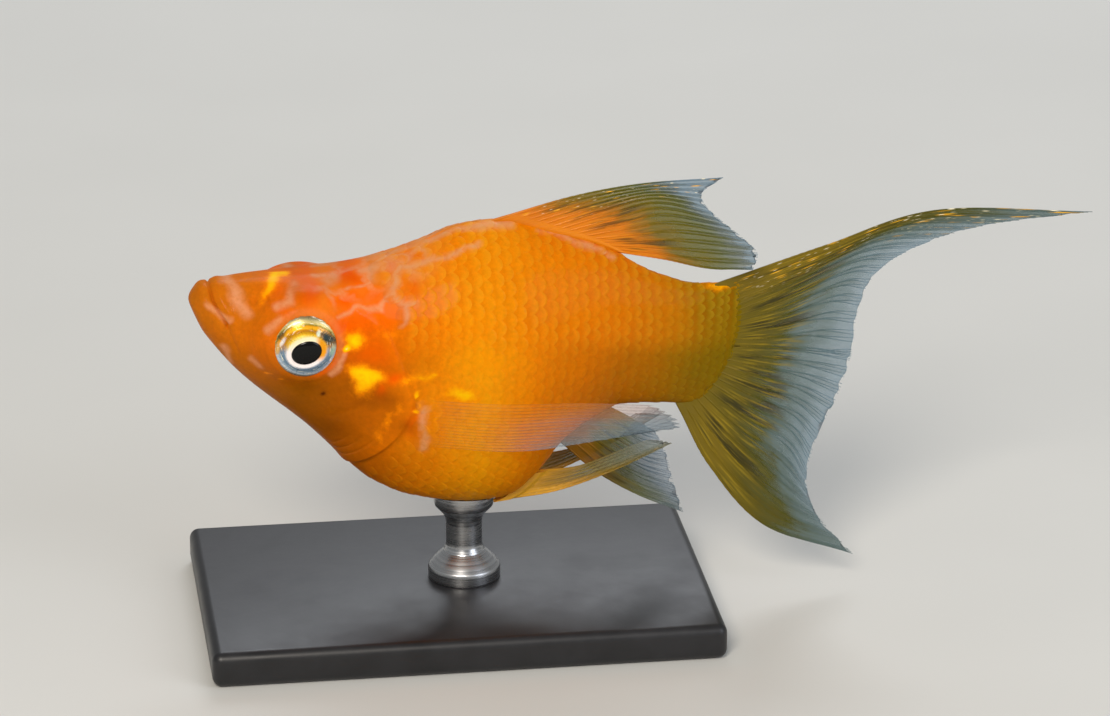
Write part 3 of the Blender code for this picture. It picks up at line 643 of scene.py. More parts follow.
def scale_shape():
    """One flat scale, 1 long and 2 wide, with its root at the origin and its free edge at +X.

    Its place on itself and its height over the skin, in metres, are stored on its points.
    """
    along = np.array([0.0, 0.3, 0.55, 0.72, 0.86, 0.95, 1.0])
    across = np.array([-1.0, -0.8, -0.45, 0.0, 0.45, 0.8, 1.0])
    a, b = np.meshgrid(along, across, indexing="ij")
    front = 0.16 * b**2
    rear = 1.0 - 0.36 * np.abs(b) ** 2.3
    x = front + (rear - front) * a
    y = b * (0.8 + 0.2 * np.sin(np.pi * np.clip(a, 0.0, 0.8)))
    lift = SCALE_RISE * (0.05 + 0.95 * a - 0.45 * (a >= 1.0) - 0.5 * (np.abs(b) >= 1.0) * a)
    rows, count = a.shape
    corner = np.arange(rows * count).reshape(rows, count)
    square = np.stack([corner[:-1, :-1], corner[1:, :-1], corner[1:, 1:], corner[:-1, 1:]], -1)
    # The root under the scale closes it to a solid.
    root = rows * count
    rim = np.concatenate([corner[:, 0], corner[-1, 1:], corner[-2::-1, -1], corner[0, -2:0:-1]]).tolist()
    faces = square.reshape(-1, 4).tolist() + [(q, p, root) for p, q in zip(rim, rim[1:] + rim[:1])]
    mesh = bpy.data.meshes.new("scale shape")
    spots = np.stack([x, y, 0 * x], -1).reshape(-1, 3).tolist()
    mesh.from_pydata(spots + [(0.5, 0.0, -0.05)], [], faces)
    store(mesh, "scale_place", np.append(np.stack([a, b, 0 * a], -1), (0.5, 0.0, 0.0)), "FLOAT_VECTOR")
    store(mesh, "lift", np.append(lift, -0.05) * MM)
    return mesh


def scale_roots(side):
    """The roots of one side's scales, each with its turn, its size and its place on the skin's unwrap."""
    flesh = skin.data
    surface = BVHTree.FromPolygons([v.co for v in flesh.vertices], [p.vertices for p in flesh.polygons])
    angle = np.radians(np.linspace(-90, 90, 241))
    spots, turns, sizes, places = [], [], [], []
    for row, x in enumerate(np.arange(-10.6, 23.2, SCALE_ROW_STEP)):
        # Each row leans forward at the back and belly, and its scales start from the septum.
        lean = -0.008 * (outline(x, angle)[1] - 2.0) ** 2
        y, z = outline(x + lean, angle, -SKIN_DEPTH)
        girth = np.append(0, np.cumsum(np.hypot(np.diff(y), np.diff(z))))
        middle = np.interp(smooth_line(SEPTUM, x), z, girth)
        pitch = float(smooth_line(SCALE_PITCH, x))
        offset = 0.5 * (row % 2)
        first = math.ceil((0.25 - middle) / pitch - offset)
        last = math.floor((girth[-1] - 0.25 - middle) / pitch - offset)
        for k in range(first, last + 1):
            at = middle + (k + offset) * pitch
            here = np.array([np.interp(at, girth, v) for v in (x + lean, y, z)])
            from_rim = here[0] - GILL_X - float(gill_rim(here[2]))
            if from_rim < 0.2 + 0.5 * (here[2] > 3.5):
                continue
            here[1] *= -side
            spot, normal = surface.find_nearest(Vector(to_world(here)))[:2]
            lie = Vector((1.0, 0.0, -math.sin(NOSE_UP)))
            lie = (lie - lie.dot(normal) * normal).normalized()
            spots.append(spot)
            turns.append(Matrix((lie, normal.cross(lie), normal)).transposed().to_quaternion())
            length = SCALE_LENGTH * (1 - 0.35 * float(eased(here[0], 20.5, 22.5)))
            sizes.append((length * MM, SCALE_HALF_WIDTH * pitch * MM, MM))
            places.append(((here[0] + 22.0) / 46.0, 0.5 + side * at / girth[-1] / 2, 0.0))
    roots = bpy.data.meshes.new("scale roots")
    roots.from_pydata(spots, [], [])
    store(roots, "turn", np.array(turns), "QUATERNION")
    store(roots, "size", sizes, "FLOAT_VECTOR")
    store(roots, "root_place", places, "FLOAT_VECTOR")
    return roots


def open_tree(name, **sockets):
    """A node tree for a modifier: the tree, its function that adds a node and its named inputs' sockets."""
    tree = bpy.data.node_groups.new(name, "GeometryNodeTree")
    for key, kind in {"Geometry": "Geometry", **sockets}.items():
        tree.interface.new_socket(key.replace("_", " "), in_out="INPUT", socket_type="NodeSocket" + kind)
    tree.interface.new_socket("Geometry", in_out="OUTPUT", socket_type="NodeSocketGeometry")
    add = partial(add_node, tree)
    return tree, add, add("NodeGroupInput").outputs


# The node tree that sets a scale on every root, then lays all of its points along the skin at the
# heights that the shape stores, so that a scale bends with the flesh under it.
scale_tree, add, given = open_tree(
    "scales over skin", Skin="Object", Scale_shape="Object", Least_size="Float", Greatest_size="Float",
    Seed="Int", Bake_patch="Float", Finish="Material",
)
size, turn, lift, patch, root_place = (
    add("InputNamedAttribute " + kind, {"Name": name})
    for name, kind in (
        ("size", "FLOAT_VECTOR"), ("turn", "QUATERNION"), ("lift", "FLOAT"),
        ("scale_place", "FLOAT_VECTOR"), ("root_place", "FLOAT_VECTOR"),
    )
)
shape, flesh = (
    add("ObjectInfo", {"Object": given[name]}).outputs["Geometry"]
    for name in ("Scale shape", "Skin")
)
wobble = {2: given["Least size"], 3: given["Greatest size"], "Seed": given["Seed"]}
wobble = add("FunctionNodeRandomValue FLOAT", wobble)
size = add("VectorMath SCALE", {0: size, "Scale": wobble})
placed = {"Points": given["Geometry"], "Instance": shape, "Rotation": turn, "Scale": size}
joined = add("RealizeInstances", [add("InstanceOnPoints", placed)])
under, upright = (
    add("SampleNearestSurface FLOAT_VECTOR", [flesh, add(kind)]) for kind in ("InputPosition", "InputNormal")
)
lifted = add("VectorMath SCALE", {0: upright, "Scale": lift})
laid = add("VectorMath ADD", [under, lifted])
bent = add("SetPosition", {"Geometry": joined, "Position": laid})
patch = add("VectorMath SCALE", {0: patch, "Scale": given["Bake patch"]})
unwrap = add("VectorMath ADD", [root_place, patch])
stored = {"Geometry": bent, "Name": "OFBake", "Value": unwrap}
stored = add("StoreNamedAttribute FLOAT2", stored, domain="CORNER")
dressed = add("SetMaterial", {"Geometry": stored, "Material": given["Finish"]})
add("NodeGroupOutput", [dressed])


def grown(name, mesh, node_tree, **values):
    """A plain mesh of what a node tree grows from the given mesh and values."""
    maker = show(name, mesh)
    change = maker.modifiers.new("growth", "NODES")
    change.node_group = node_tree
    for item in node_tree.interface.items_tree:
        key = item.name.replace(" ", "_")
        if item.in_out == "INPUT" and key in values:
            change[item.identifier] = values[key]
    bpy.context.view_layer.update()
    seen = maker.evaluated_get(bpy.context.evaluated_depsgraph_get())
    result = bpy.data.meshes.new_from_object(seen)
    result.name = name
    bpy.data.objects.remove(maker)
    result.shade_smooth()
    return result


scale_finish = skin_material("clear scales over orange skin", True)
template = show("scale shape", scale_shape())
for side, word in SIDES:
    coat = grown(
        "scales_" + word, scale_roots(side), scale_tree, Skin=skin, Scale_shape=template,
        Least_size=SCALE_SIZES[0], Greatest_size=SCALE_SIZES[1], Seed=SCALE_SEED + side,
        Bake_patch=SCALE_BAKE_PATCH, Finish=scale_finish,
    )
    mark(coat)
    coat.set_sharp_from_angle(angle=math.radians(50))
    add_piece("scales_" + word, coat, "skin")
bpy.data.objects.remove(template)

# The eyes: glassy balls in soft sockets, each with an oval black pupil, a pale ring round it, an iris
# that is gold above and silver-blue below, and a clear domed front.
PUPIL_CENTRE = (-12.4, 1.55)
PUPIL_RADII = (1.24, 0.98)
PUPIL_TILT = math.radians(22.0)
EYE_AROUND = 128


def eye_mesh(name, side):
    """A flattened ball with the lens swelling in the pupil and a dip where the iris starts."""
    polar = np.radians(np.concatenate([np.linspace(0, 80, 72), np.linspace(83, 180, 20)]))[:, None]
    turn = np.linspace(0, 2 * np.pi, EYE_AROUND, endpoint=False)[None, :]
    x = EYE_CENTRE[0] + EYE_RADII[0] * np.sin(polar) * np.cos(turn)
    z = EYE_CENTRE[2] + EYE_RADII[2] * np.sin(polar) * np.sin(turn)
    dx, dz = x - PUPIL_CENTRE[0], z - PUPIL_CENTRE[1]
    long = (dx * math.cos(PUPIL_TILT) + dz * math.sin(PUPIL_TILT)) / PUPIL_RADII[0]
    short = (dz * math.cos(PUPIL_TILT) - dx * math.sin(PUPIL_TILT)) / PUPIL_RADII[1]
    pupil = np.hypot(long, short)
    lens = 0.1 * np.sqrt(np.clip(1 - pupil**2, 0, 1)) - 0.05 * hump(pupil - 1.08, 0.12)
    lens = (lens + 0.03 * hump(pupil - 1.4, 0.15)) * (polar < 1.4)
    y = side * (EYE_CENTRE[1] + EYE_RADII[1] * np.cos(polar) + lens + 0 * turn)
    return welded(sheet_mesh(name, to_world(np.stack([x, y, z], -1)), True))


# Fish eye: a clear wet cornea over an iris of mirror-like crystals, gold above and blue-silver below.
# The pale cream band near the top of the iris is partly gold and partly a painted highlight, and the pale
# bands near the bottom rim of the lower iris are painted highlights.
UPPER_IRIS = (
    (0.4, "#FFE684"), (0.47, "#F2BE2C"), (0.54, "#C88A10"), (0.6, "#C07C0C"), (0.66, "#FFB81C"),
    (0.72, "#E89A14"), (0.76, "#8A7C1C"), (0.8, "#D8C070"), (0.87, "#C8B880"), (0.93, "#8E8864"),
    (1.0, "#8A6234"),
)
LOWER_IRIS = (
    (0.48, "#F4F2F0"), (0.58, "#C2CCDA"), (0.68, "#7E97AE"), (0.77, "#68859C"), (0.85, "#A8BCCE"),
    (0.91, "#CCD8E4"), (0.965, "#7E8478"), (1.03, "#8A5426"),
)
# Patches of the iris, dark teal, slate and gold, with pale ones that are painted highlights: (x, z from
# the eye's middle, turn, half length, half height, colour, strength).
IRIS_PATCHES_AND_HIGHLIGHTS = (
    (1.75, 0.78, -38.0, 1.05, 0.46, "#123A42", 0.95), (2.15, -0.3, 75.0, 0.55, 0.26, "#A4C8B0", 0.8),
    (0.9, 1.25, 0.0, 0.18, 0.26, "#E8F4D8", 0.85), (-2.05, 0.95, 58.0, 0.55, 0.22, "#3A342E", 0.7),
    (-1.95, 0.45, 62.0, 0.5, 0.15, "#F6F2F4", 0.8), (-2.3, -0.25, 85.0, 0.5, 0.22, "#E8A80C", 0.85),
)
RING_ABOVE, RING_BELOW, RING_BEHIND = "#FFF3C8", "#FFF4F0", "#F09C08"
SPARK, PUPIL_BLACK = "#FAF6E0", "#020202"


def eye_material():
    """The eye's colours, drawn round the pupil and round the eye as seen from its own side."""
    material, add, shader = new_material("wet glassy fish eye")
    split = add("SeparateXYZ", [fish_place(add)])
    flat = add("CombineXYZ", {"X": split.outputs["X"], "Z": split.outputs["Z"]})

    def oval(x, z, turn, length, height):
        """The spot, and its distance, from the middle of an oval, in the oval's own half sizes."""
        move = [flat, (x, 0, z), (0, -turn, 0), (length, 1, height)]
        spot = add("Mapping TEXTURE", move)
        return spot, add("VectorMath LENGTH", [spot])

    eye_x, _, eye_z = EYE_CENTRE
    pupil = oval(*PUPIL_CENTRE, PUPIL_TILT, *PUPIL_RADII)[1]
    centred, reach = oval(eye_x, eye_z, 0.0, 2.7, 2.65)
    dome = oval(eye_x, eye_z, 0.0, 3.24, 2.58)[1]
    aside = add("SeparateXYZ", [centred])
    across, rise = aside.outputs["X"], aside.outputs["Z"]
    turned = add("Math ARCTAN2", [rise, across])
    # Fine fibres run outwards from the pupil, and short bright arcs of crystals run round it.
    noises = []
    for steps in ((2.6, 1.2), (0.5, 4.4)):
        spread = add("CombineXYZ", [add("Math MULTIPLY", pair) for pair in zip((turned, reach), steps)])
        noises.append(add("TexNoise", {"Vector": spread, "Detail": 3.0, "Roughness": 0.55}))
    fibres, arcs = noises
    shift = add("Math MULTIPLY_ADD", [arcs, 0.1, -0.05])
    upper, lower = (
        add("ValToRGB", [add("Math ADD", [shift, measure])], stops)
        for measure, stops in ((dome, UPPER_IRIS), (reach, LOWER_IRIS))
    )
    height = add("Math MULTIPLY_ADD", [arcs, 0.5, rise])
    edge = add("Math MULTIPLY_ADD", [fibres, 0.2, pupil])
    # Masks from 0 to 1: what is measured, where each starts and ends, and its least and greatest value.
    above, spark, outer, ringed, behind, low_right, hole = (
        add("MapRange SMOOTHSTEP", mask)
        for mask in (
            [height, 0.05, 0.4, 0.0, 1.0], [arcs, 0.56, 0.68, 0.0, 0.9], [reach, 0.5, 0.75, 0.0, 1.0],
            [edge, 1.56, 1.34, 0.0, 1.0], [across, 0.2, 0.42, 0.0, 1.0], [rise, -0.5, -0.2, 0.0, 1.0],
            [pupil, 1.04, 0.98, 0.0, 1.0],
        )
    )
    spark = add("Math MULTIPLY", [spark, outer])
    behind = add("Math MULTIPLY", [behind, low_right])
    ring = add("Mix RGBA", {0: above, 6: RING_BELOW, 7: RING_ABOVE})
    ring = add("Mix RGBA", {0: behind, 6: ring, 7: RING_BEHIND})
    covers = [(above, upper)]
    for at_x, at_z, turn, length, high, colour, strength in IRIS_PATCHES_AND_HIGHLIGHTS:
        patch = oval(eye_x + at_x, eye_z + at_z, math.radians(turn), length, high)[1]
        frayed = add("Math MULTIPLY_ADD", [fibres, 0.9, patch])
        mask = add("MapRange SMOOTHSTEP", [frayed, 1.8, 0.8, 0.0, strength])
        covers.append((mask, colour))
    # Over the iris lie its patches, the pale ones painted highlights, painted glints of crystals in short
    # arcs round the pupil, the pale ring round the pupil, and the pupil's black.
    iris = lower
    for cover, colour in covers + [(spark, SPARK), (ringed, ring), (hole, PUPIL_BLACK)]:
        iris = add("Mix RGBA", {0: cover, 6: iris, 7: colour})
    finish = {
        "Base Color": iris,
        "Metallic": add("MapRange", [ringed, 0.0, 1.0, 0.3, 0.0]),
        "Roughness": add("MapRange", [fibres, 0.3, 0.7, 0.22, 0.4]),
        "Normal": add("Bump", {"Height": fibres, "Strength": 0.1, "Distance": 0.00002}),
        "Specular IOR Level": 0.1,
        "Coat Weight": 0.6,
        "Coat Roughness": 0.03,
        "Coat IOR": 1.34,
    }
    feed(shader, finish)
    return material


eye_finish = eye_material()
for side, word in SIDES:
    mesh = eye_mesh("eyeball_" + word, side)
    mesh.materials.append(eye_finish)
    add_piece("eyeball_" + word, mesh, "eye", "eye_" + word)

# The fins: thin see-through membranes stiffened by jointed rays of bone, which branch towards the
# margin. Each fin's roots are sunk in the flesh, and its margin is a little frayed between the rays.
RAY_RADIUS = (0.13, 0.028)
MEMBRANE_BOW = 0.03
MEMBRANE_HALF = (0.07, 0.025)
ROOT_SUNK = -0.1
RAY_SIDES = 6
FIN_STEP = 0.22
FIRST_FORK, SECOND_FORK = 0.38, 0.66


def curve_at(points, t):
    """Points at t, from 0 to 1, on a smooth curve through evenly spaced points or whole rows of them."""
    p = np.asarray(points, float)
    place = np.clip(t, 0, 1) * (len(p) - 1)
    i = np.minimum(place.astype(int), len(p) - 2)
    f = (place - i)[..., None]
    p = np.concatenate([2 * p[:1] - p[1:2], p, 2 * p[-1:] - p[-2:-1]])
    if p.ndim == 2:
        a, b, c, d = (p[i + k] for k in range(4))
    else:
        a, b, c, d = (np.take_along_axis(p, (i + k)[None, ..., None], 0)[0] for k in range(4))
    return b + 0.5 * f * (c - a + f * (2 * a - 5 * b + 4 * c - d + f * (3 * (b - c) + d - a)))


def fin_point(rows, u, v, inward):
    """The fin's middle surface at u, from its first ray to its last, and v, from root to margin.

    Below v 0 it runs on into the flesh, along the fin or along the given way.
    """
    columns = np.stack([curve_at(row, u) for row in rows])
    along = (columns[1] - columns[0]) * (len(rows) - 1) if inward is None else np.array(inward) / ROOT_SUNK
    return curve_at(columns, v) + np.minimum(v, 0)[..., None] * along


def bowed(u, v, rays):
    """How far the membrane and its rays stand to one side, in turn, from ray to ray."""
    return MEMBRANE_BOW * np.sin(2 * np.pi * u * (rays - 1)) * eased(v, 0.05, 0.5)


# The node tree that turns a fin's lines into tapered rays and joins them to its membrane. The third
# number of a fin's places tells rays, 1, from membrane, 0.
fin_tree, add, given = open_tree(
    "rays on membrane", Membrane="Object", Ray_sides="Int", Ray_finish="Material", Membrane_finish="Material"
)
lines = add("MeshToCurve", [given["Geometry"]])
profile = add("CurvePrimitiveCircle", {"Resolution": given["Ray sides"], "Radius": 1.0})
thickness, place = (
    add("InputNamedAttribute " + kind, {"Name": name})
    for name, kind in (("thickness", "FLOAT"), ("fin_place", "FLOAT_VECTOR"))
)
tubes = {"Curve": lines, "Profile Curve": profile, "Scale": thickness, "Fill Caps": True}
both = add("JoinGeometry", [add("CurveToMesh", tubes)])
feed(both, [add("ObjectInfo", {"Object": given["Membrane"]}).outputs["Geometry"]])
dressed = add("RealizeInstances", [both])
is_ray = add("SeparateXYZ", [place]).outputs["Z"]
for chosen, finish in ((True, "Membrane finish"), (is_ray, "Ray finish")):
    dress = {"Geometry": dressed, "Selection": chosen, "Material": given[finish]}
    dressed = add("SetMaterial", dress)
add("NodeGroupOutput", [dressed])


def ray_paths(rays, branches, steps):
    """Each ray and branch as its (u, v) along it. A branch leaves its parent part of the way out."""
    gap = 1 / (rays - 1)
    paths = []
    for ray in range(rays):
        inward = 1 if ray == 0 else -1 if ray == rays - 1 else 0
        for tip in range(branches):
            start = ROOT_SUNK if tip == 0 else FIRST_FORK if tip % 2 else SECOND_FORK
            v = np.linspace(start, 1.0, max(int(steps * (1 - start)), 4))
            spread = (tip + 0.5) / branches - 0.5
            shift = spread if inward == 0 else inward * (tip / branches) * 0.5
            first, second = eased(v, 0.3, 0.8), eased(v, 0.55, 1.0)
            coarse = shift if branches < 3 else np.sign(spread) * 0.25
            path_u = ray * gap + 0.8 * gap * (coarse * first + (shift - coarse) * second)
            paths.append((np.clip(path_u, 0, 1), v))
    return paths


def grow_fin(name, node, rows, finishes, rays, branches, length, way=1, thick=1.0, inward=None, foot=0.3):
    """Builds a fin from its CAD rows, with its rays and membrane, and shows it in place of its node.

    With way -1 it stands on the right side. The foot is the half thickness of its root.
    """
    way = (1, way, 1)
    steps = int(length / FIN_STEP)
    across = (rays - 1) * 10 + 1
    u, v = np.meshgrid(np.linspace(0, 1, across), np.linspace(ROOT_SUNK, 1, steps), indexing="ij")
    on_ray = np.abs(np.cos(np.pi * u * (rays - 1))) ** 3
    fray = 0.012 * np.sin(37 * u + 2.0) + 0.01 * np.sin(91 * u) + 0.035 * (1 - on_ray)
    out = np.clip(v, 0, 1)
    middle = fin_point(rows, u, v * (1 - np.clip(fray, 0, None) * out * 12.0 / length), inward)
    middle[..., 1] += bowed(u, v, rays)
    half = MEMBRANE_HALF[0] + (MEMBRANE_HALF[1] - MEMBRANE_HALF[0]) * out + foot * hump(out * length, 0.5)
    offset = np.stack([0 * half, half, 0 * half], -1)
    sides = ((middle - offset, middle + offset), (u, u), (v, v))
    rim, *place = (np.concatenate([there, back[::-1], there[:1]]) for there, back in sides)
    web = sheet_mesh(name, to_world(rim * way), False)
    store(web, "fin_place", np.stack([*place, 0 * rim[..., 0]], -1), "FLOAT_VECTOR")
    holder = show(name + " web", welded(web, 1e-7, True))
    points, edges, thickness, places = [], [], [], []
    for path_u, path_v in ray_paths(rays, branches, steps):
        spots = fin_point(rows, path_u, path_v, inward)
        spots[:, 1] += bowed(path_u, path_v, rays)
        start = len(points)
        points += to_world(spots * way).tolist()
        edges += [(i, i + 1) for i in range(start, len(points) - 1)]
        size = RAY_RADIUS[0] + (RAY_RADIUS[1] - RAY_RADIUS[0]) * np.clip(path_v, 0, 1) ** 0.7
        jointed = 1 - 0.22 * (np.arange(len(path_v)) % 3 == 0) * eased(path_v, 0.12, 0.25)
        thickness += (size * thick * jointed * MM).tolist()
        places += np.stack([path_u, path_v, 1 + 0 * path_u], 1).tolist()
    lines = bpy.data.meshes.new(name)
    lines.from_pydata(points, edges, [])
    store(lines, "thickness", thickness)
    store(lines, "fin_place", places, "FLOAT_VECTOR")
    skin_finish, ray_finish = finishes
    mesh = grown(
        name, lines, fin_tree,
        Membrane=holder, Ray_sides=RAY_SIDES, Ray_finish=ray_finish, Membrane_finish=skin_finish,
    )
    bpy.data.objects.remove(holder)
    mesh.set_sharp_from_angle(angle=math.radians(70))
    return add_piece(name, mesh, "fin", node)


def fin_material(name, stops, streaks, clear, gold=0.0, ray=0.0, root=0.9, leading=0.0, ahead=-0.32):
    """Fin skin, coloured from root to margin by stops, with dark streaks, dashes of gold and a clear margin.

    The gold lies by the leading ray, the first (0) or the last (1), where the colours start farther out
    (ahead below 0) or nearer the root. A ray is less clear than the membrane by the given share.
    """
    material, add, shader = new_material(name)
    spot = add("Attribute", attribute_name="fin_place").outputs["Vector"]
    split = add("SeparateXYZ", [spot])
    across, outwards = split.outputs["X"], split.outputs["Y"]

    def spread(wide, far):
        """The place on the fin, counted in so many steps across it and out to its margin."""
        return add("VectorMath MULTIPLY", [spot, (wide, far, 0.0)])

    # Pigment lies in fine streaks along the rays, in fingers and in broad blotches: three noises, each
    # stretched from root to margin by its own two steps.
    streak, finger, blotch = (
        add("TexNoise", {"Vector": spread(wide, far), "Scale": 1.0, "Detail": 4.0, "Roughness": 0.6})
        for wide, far in ((60.0, 3.0), (15.0, 1.5), (8.0, 4.5))
    )
    # Masks from 0 to 1: what is measured, where each starts and ends, and its least and greatest value.
    front, inner, outer, dark, light, near_root = (
        add("MapRange SMOOTHSTEP", mask)
        for mask in (
            [across, 0.45 + 0.1 * leading, 0.05 + 0.9 * leading, 0.0, 1.0], [outwards, 0.06, 0.22, 0.0, 1.0],
            [outwards, 0.66, 0.44, 0.0, streaks], [finger, 0.49, 0.6, 0.0, 1.0],
            [streak, 0.5, 0.36, 0.0, 0.45 * streaks], [outwards, 0.03, 0.1, 0.0, 1.0],
        )
    )
    along = outwards
    for part, amount in ((streak, 0.3), (blotch, 0.34), (front, ahead), (1.0, -0.32)):
        along = add("Math MULTIPLY_ADD", [part, amount, along])
    for part in (inner, outer):
        dark, light = (add("Math MULTIPLY", [mask, part]) for mask in (dark, light))
    colour = add("ValToRGB", [along], stops)
    covers = [(dark, "#302C04"), (light, "#B89A1C")]
    # Dashes of gold about 0.6 mm long lie on the rays of the fin's leading half, with finer pale sparks.
    gilt = 0.0
    for wide, far, share, code in ((44.0, 16.0, gold, "#FFBC28"), (90.0, 44.0, 0.5 * gold, "#FFF2CC")):
        cell = add("TexVoronoi", {"Vector": spread(wide, far), "Scale": 1.0})
        chance = add("SeparateXYZ", [cell.outputs["Color"]])
        small = add("MapRange", [cell.outputs["Distance"], 0.5, 0.2])
        rare = add("MapRange", [chance, 1.0 - share, 1.02 - share])
        dash = front
        for part in (small, rare, near_root):
            dash = add("Math MULTIPLY", [dash, part])
        covers.append((dash, code))
        gilt = add("Math MAXIMUM", [dash, gilt])
    for cover, code in covers:
        colour = add("Mix RGBA", {0: cover, 6: colour, 7: code})
    alpha = add("Math ADD", [add("MapRange", [along, 0.2, 0.9, *clear]), ray], use_clamp=True)
    alpha = add("MapRange SMOOTHSTEP", [outwards, 0.0, 0.14, root, alpha])
    finish = {
        "Base Color": colour,
        "Alpha": add("Math MAXIMUM", [alpha, gilt]),
        "Metallic": add("Math MULTIPLY", [gilt, 0.5]),
        "Roughness": add("MapRange", [streak, 0.3, 0.7, 0.32, 0.5]),
        "Normal": add("Bump", {"Height": streak, "Strength": 0.3, "Distance": 0.00004}),
        "Specular IOR Level": 0.2,
        "Coat Weight": 0.12,
        "Coat Roughness": 0.15,
    }
    feed(shader, finish)
    return material


def fin_finishes(name, both, skin, ray):
    """The finishes of a fin's skin and of its rays, from what both have and what each has alone."""
    return [fin_material(f"{name} fin {part}", **both, **own) for part, own in (("skin", skin), ("ray", ray))]


# The dorsal fin: a swept-back sail on the ridge of the back, orange at its base, then olive with dark
# streaks, and blue-grey and clear at its margin.
dorsal_stops = (
    (0.0, "#E4860C"), (0.26, "#D6780A"), (0.4, "#A46A08"), (0.52, "#7C6608"), (0.68, "#686208"),
    (0.84, "#5C6230"), (0.94, "#64706C"), (1.0, "#7E94A2"),
)
dorsal_finish = fin_finishes(
    "olive and orange", dict(stops=dorsal_stops, clear=(0.97, 0.6), ahead=0.18),
    dict(streaks=0.7, gold=0.1), dict(streaks=0.5, gold=0.2, ray=0.16),
)
dorsal_root = [(x, 0, float(section(x)[0]) + 0.3) for x in np.linspace(4.0, 13.7, 6)]
dorsal_rows = (
    dorsal_root,
    ((9.5, -0.2, 12.95), (13.0, -0.4, 11.2), (17.3, -0.7, 7.75)),
    ((15.0, -0.6, 14.2), (16.6, -0.8, 12.2), (20.7, -1.6, 7.3)),
    (
        (21.5, -1.0, 14.9), (19.9, -1.15, 13.7), (20.1, -1.3, 12.7), (21.4, -1.7, 11.5),
        (23.0, -2.0, 10.3), (24.5, -2.3, 8.9), (24.2, -2.5, 7.5),
    ),
)
grow_fin("dorsal_sail", "dorsal_fin", dorsal_rows, dorsal_finish, rays=15, branches=4, length=17, foot=0.16)

# The anal fin: a clear, pointed fin on the midline under the tail stem, swept back and rooted in the
# flesh. Its skin is olive at the base and blue-grey beyond.
anal_stops = ((0.0, "#8A5C0C"), (0.15, "#6A580E"), (0.4, "#5F6440"), (0.7, "#70808A"), (1.0, "#94A4B0"))
anal_finish = fin_finishes(
    "clear olive", dict(stops=anal_stops, clear=(0.85, 0.4)), dict(streaks=0.7), dict(streaks=0.5, ray=0.16)
)
anal_root = [(x, 0, float(section(x)[1]) - 0.3) for x in np.linspace(9.6, 13.6, 4)]
anal_rows = (
    anal_root,
    ((12.7, 0.1, -11.2), (14.2, 0.1, -8.6), (15.0, 0.1, -6.3)),
    ((16.3, 0.4, -13.4), (16.6, 0.4, -10.1), (16.3, 0.3, -7.1)),
    ((20.4, 0.8, -15.2), (19.3, 0.7, -12.2), (18.5, 0.6, -9.6), (17.5, 0.5, -7.8)),
)
grow_fin("anal_sail", "anal_fin", anal_rows, anal_finish, rays=9, branches=4, length=10)

# The tail fin: a lyre with a long swept upper streamer and a shorter lower one. Olive streaks fan out
# from the stem, the membrane is blue-grey, and gold flecks lie along the rays of the upper lobe.
tail_stops = (
    (0.0, "#746006"), (0.12, "#6A5A04"), (0.28, "#5A5004"), (0.42, "#4E4E0C"), (0.56, "#586A64"),
    (1.0, "#76909E"),
)
upper_finish = fin_finishes(
    "gilded blue-grey", dict(stops=tail_stops, clear=(0.96, 0.5)),
    dict(streaks=0.9, gold=0.24), dict(streaks=0.7, gold=0.46, ray=0.16),
)
lower_finish = fin_finishes(
    "olive and blue-grey", dict(stops=tail_stops, clear=(0.96, 0.5), leading=1.0),
    dict(streaks=0.9), dict(streaks=0.7, ray=0.16),
)
upper_root = [(23.0 + float(stem_rim(z)), 0, z) for z in (5.6, 4.2, 2.8, 1.5, 0.0)]
upper_rows = (
    upper_root,
    ((30.9, 0.35, 8.65), (28.0, 0.25, 4.8), (26.4, 0.1, -0.22)),
    ((40.0, 1.1, 11.45), (35.2, 0.8, 8.9), (32.2, 0.5, 5.2), (30.0, 0.25, -0.55)),
    (
        (53.56, 2.5, 10.9), (44.9, 1.6, 10.1), (39.4, 1.0, 8.7), (35.3, 0.7, 6.2),
        (33.9, 0.5, 2.9), (33.6, 0.4, -1.05),
    ),
)
grow_fin(
    "tail_upper_lobe", "tail_fin_upper", upper_rows, upper_finish, rays=13, branches=4, length=26, foot=0.05
)
lower_root = [(23.0 + float(stem_rim(z)), 0, z) for z in (0.0, -1.6, -3.0, -4.4, -5.7)]
lower_rows = (
    lower_root,
    ((26.4, 0.1, -0.22), (25.2, 0.1, -5.4), (22.3, 0.0, -10.8)),
    ((30.0, 0.25, -0.55), (28.9, 0.2, -7.4), (27.3, 0.3, -16.2)),
    (
        (33.6, 0.4, -1.05), (32.7, 0.4, -4.6), (31.3, 0.35, -8.0), (30.6, 0.35, -12.0),
        (31.8, 0.5, -15.4), (35.1, 0.6, -19.0),
    ),
)
grow_fin(
    "tail_lower_lobe", "tail_fin_lower", lower_rows, lower_finish, rays=13, branches=4, length=16, foot=0.05
)

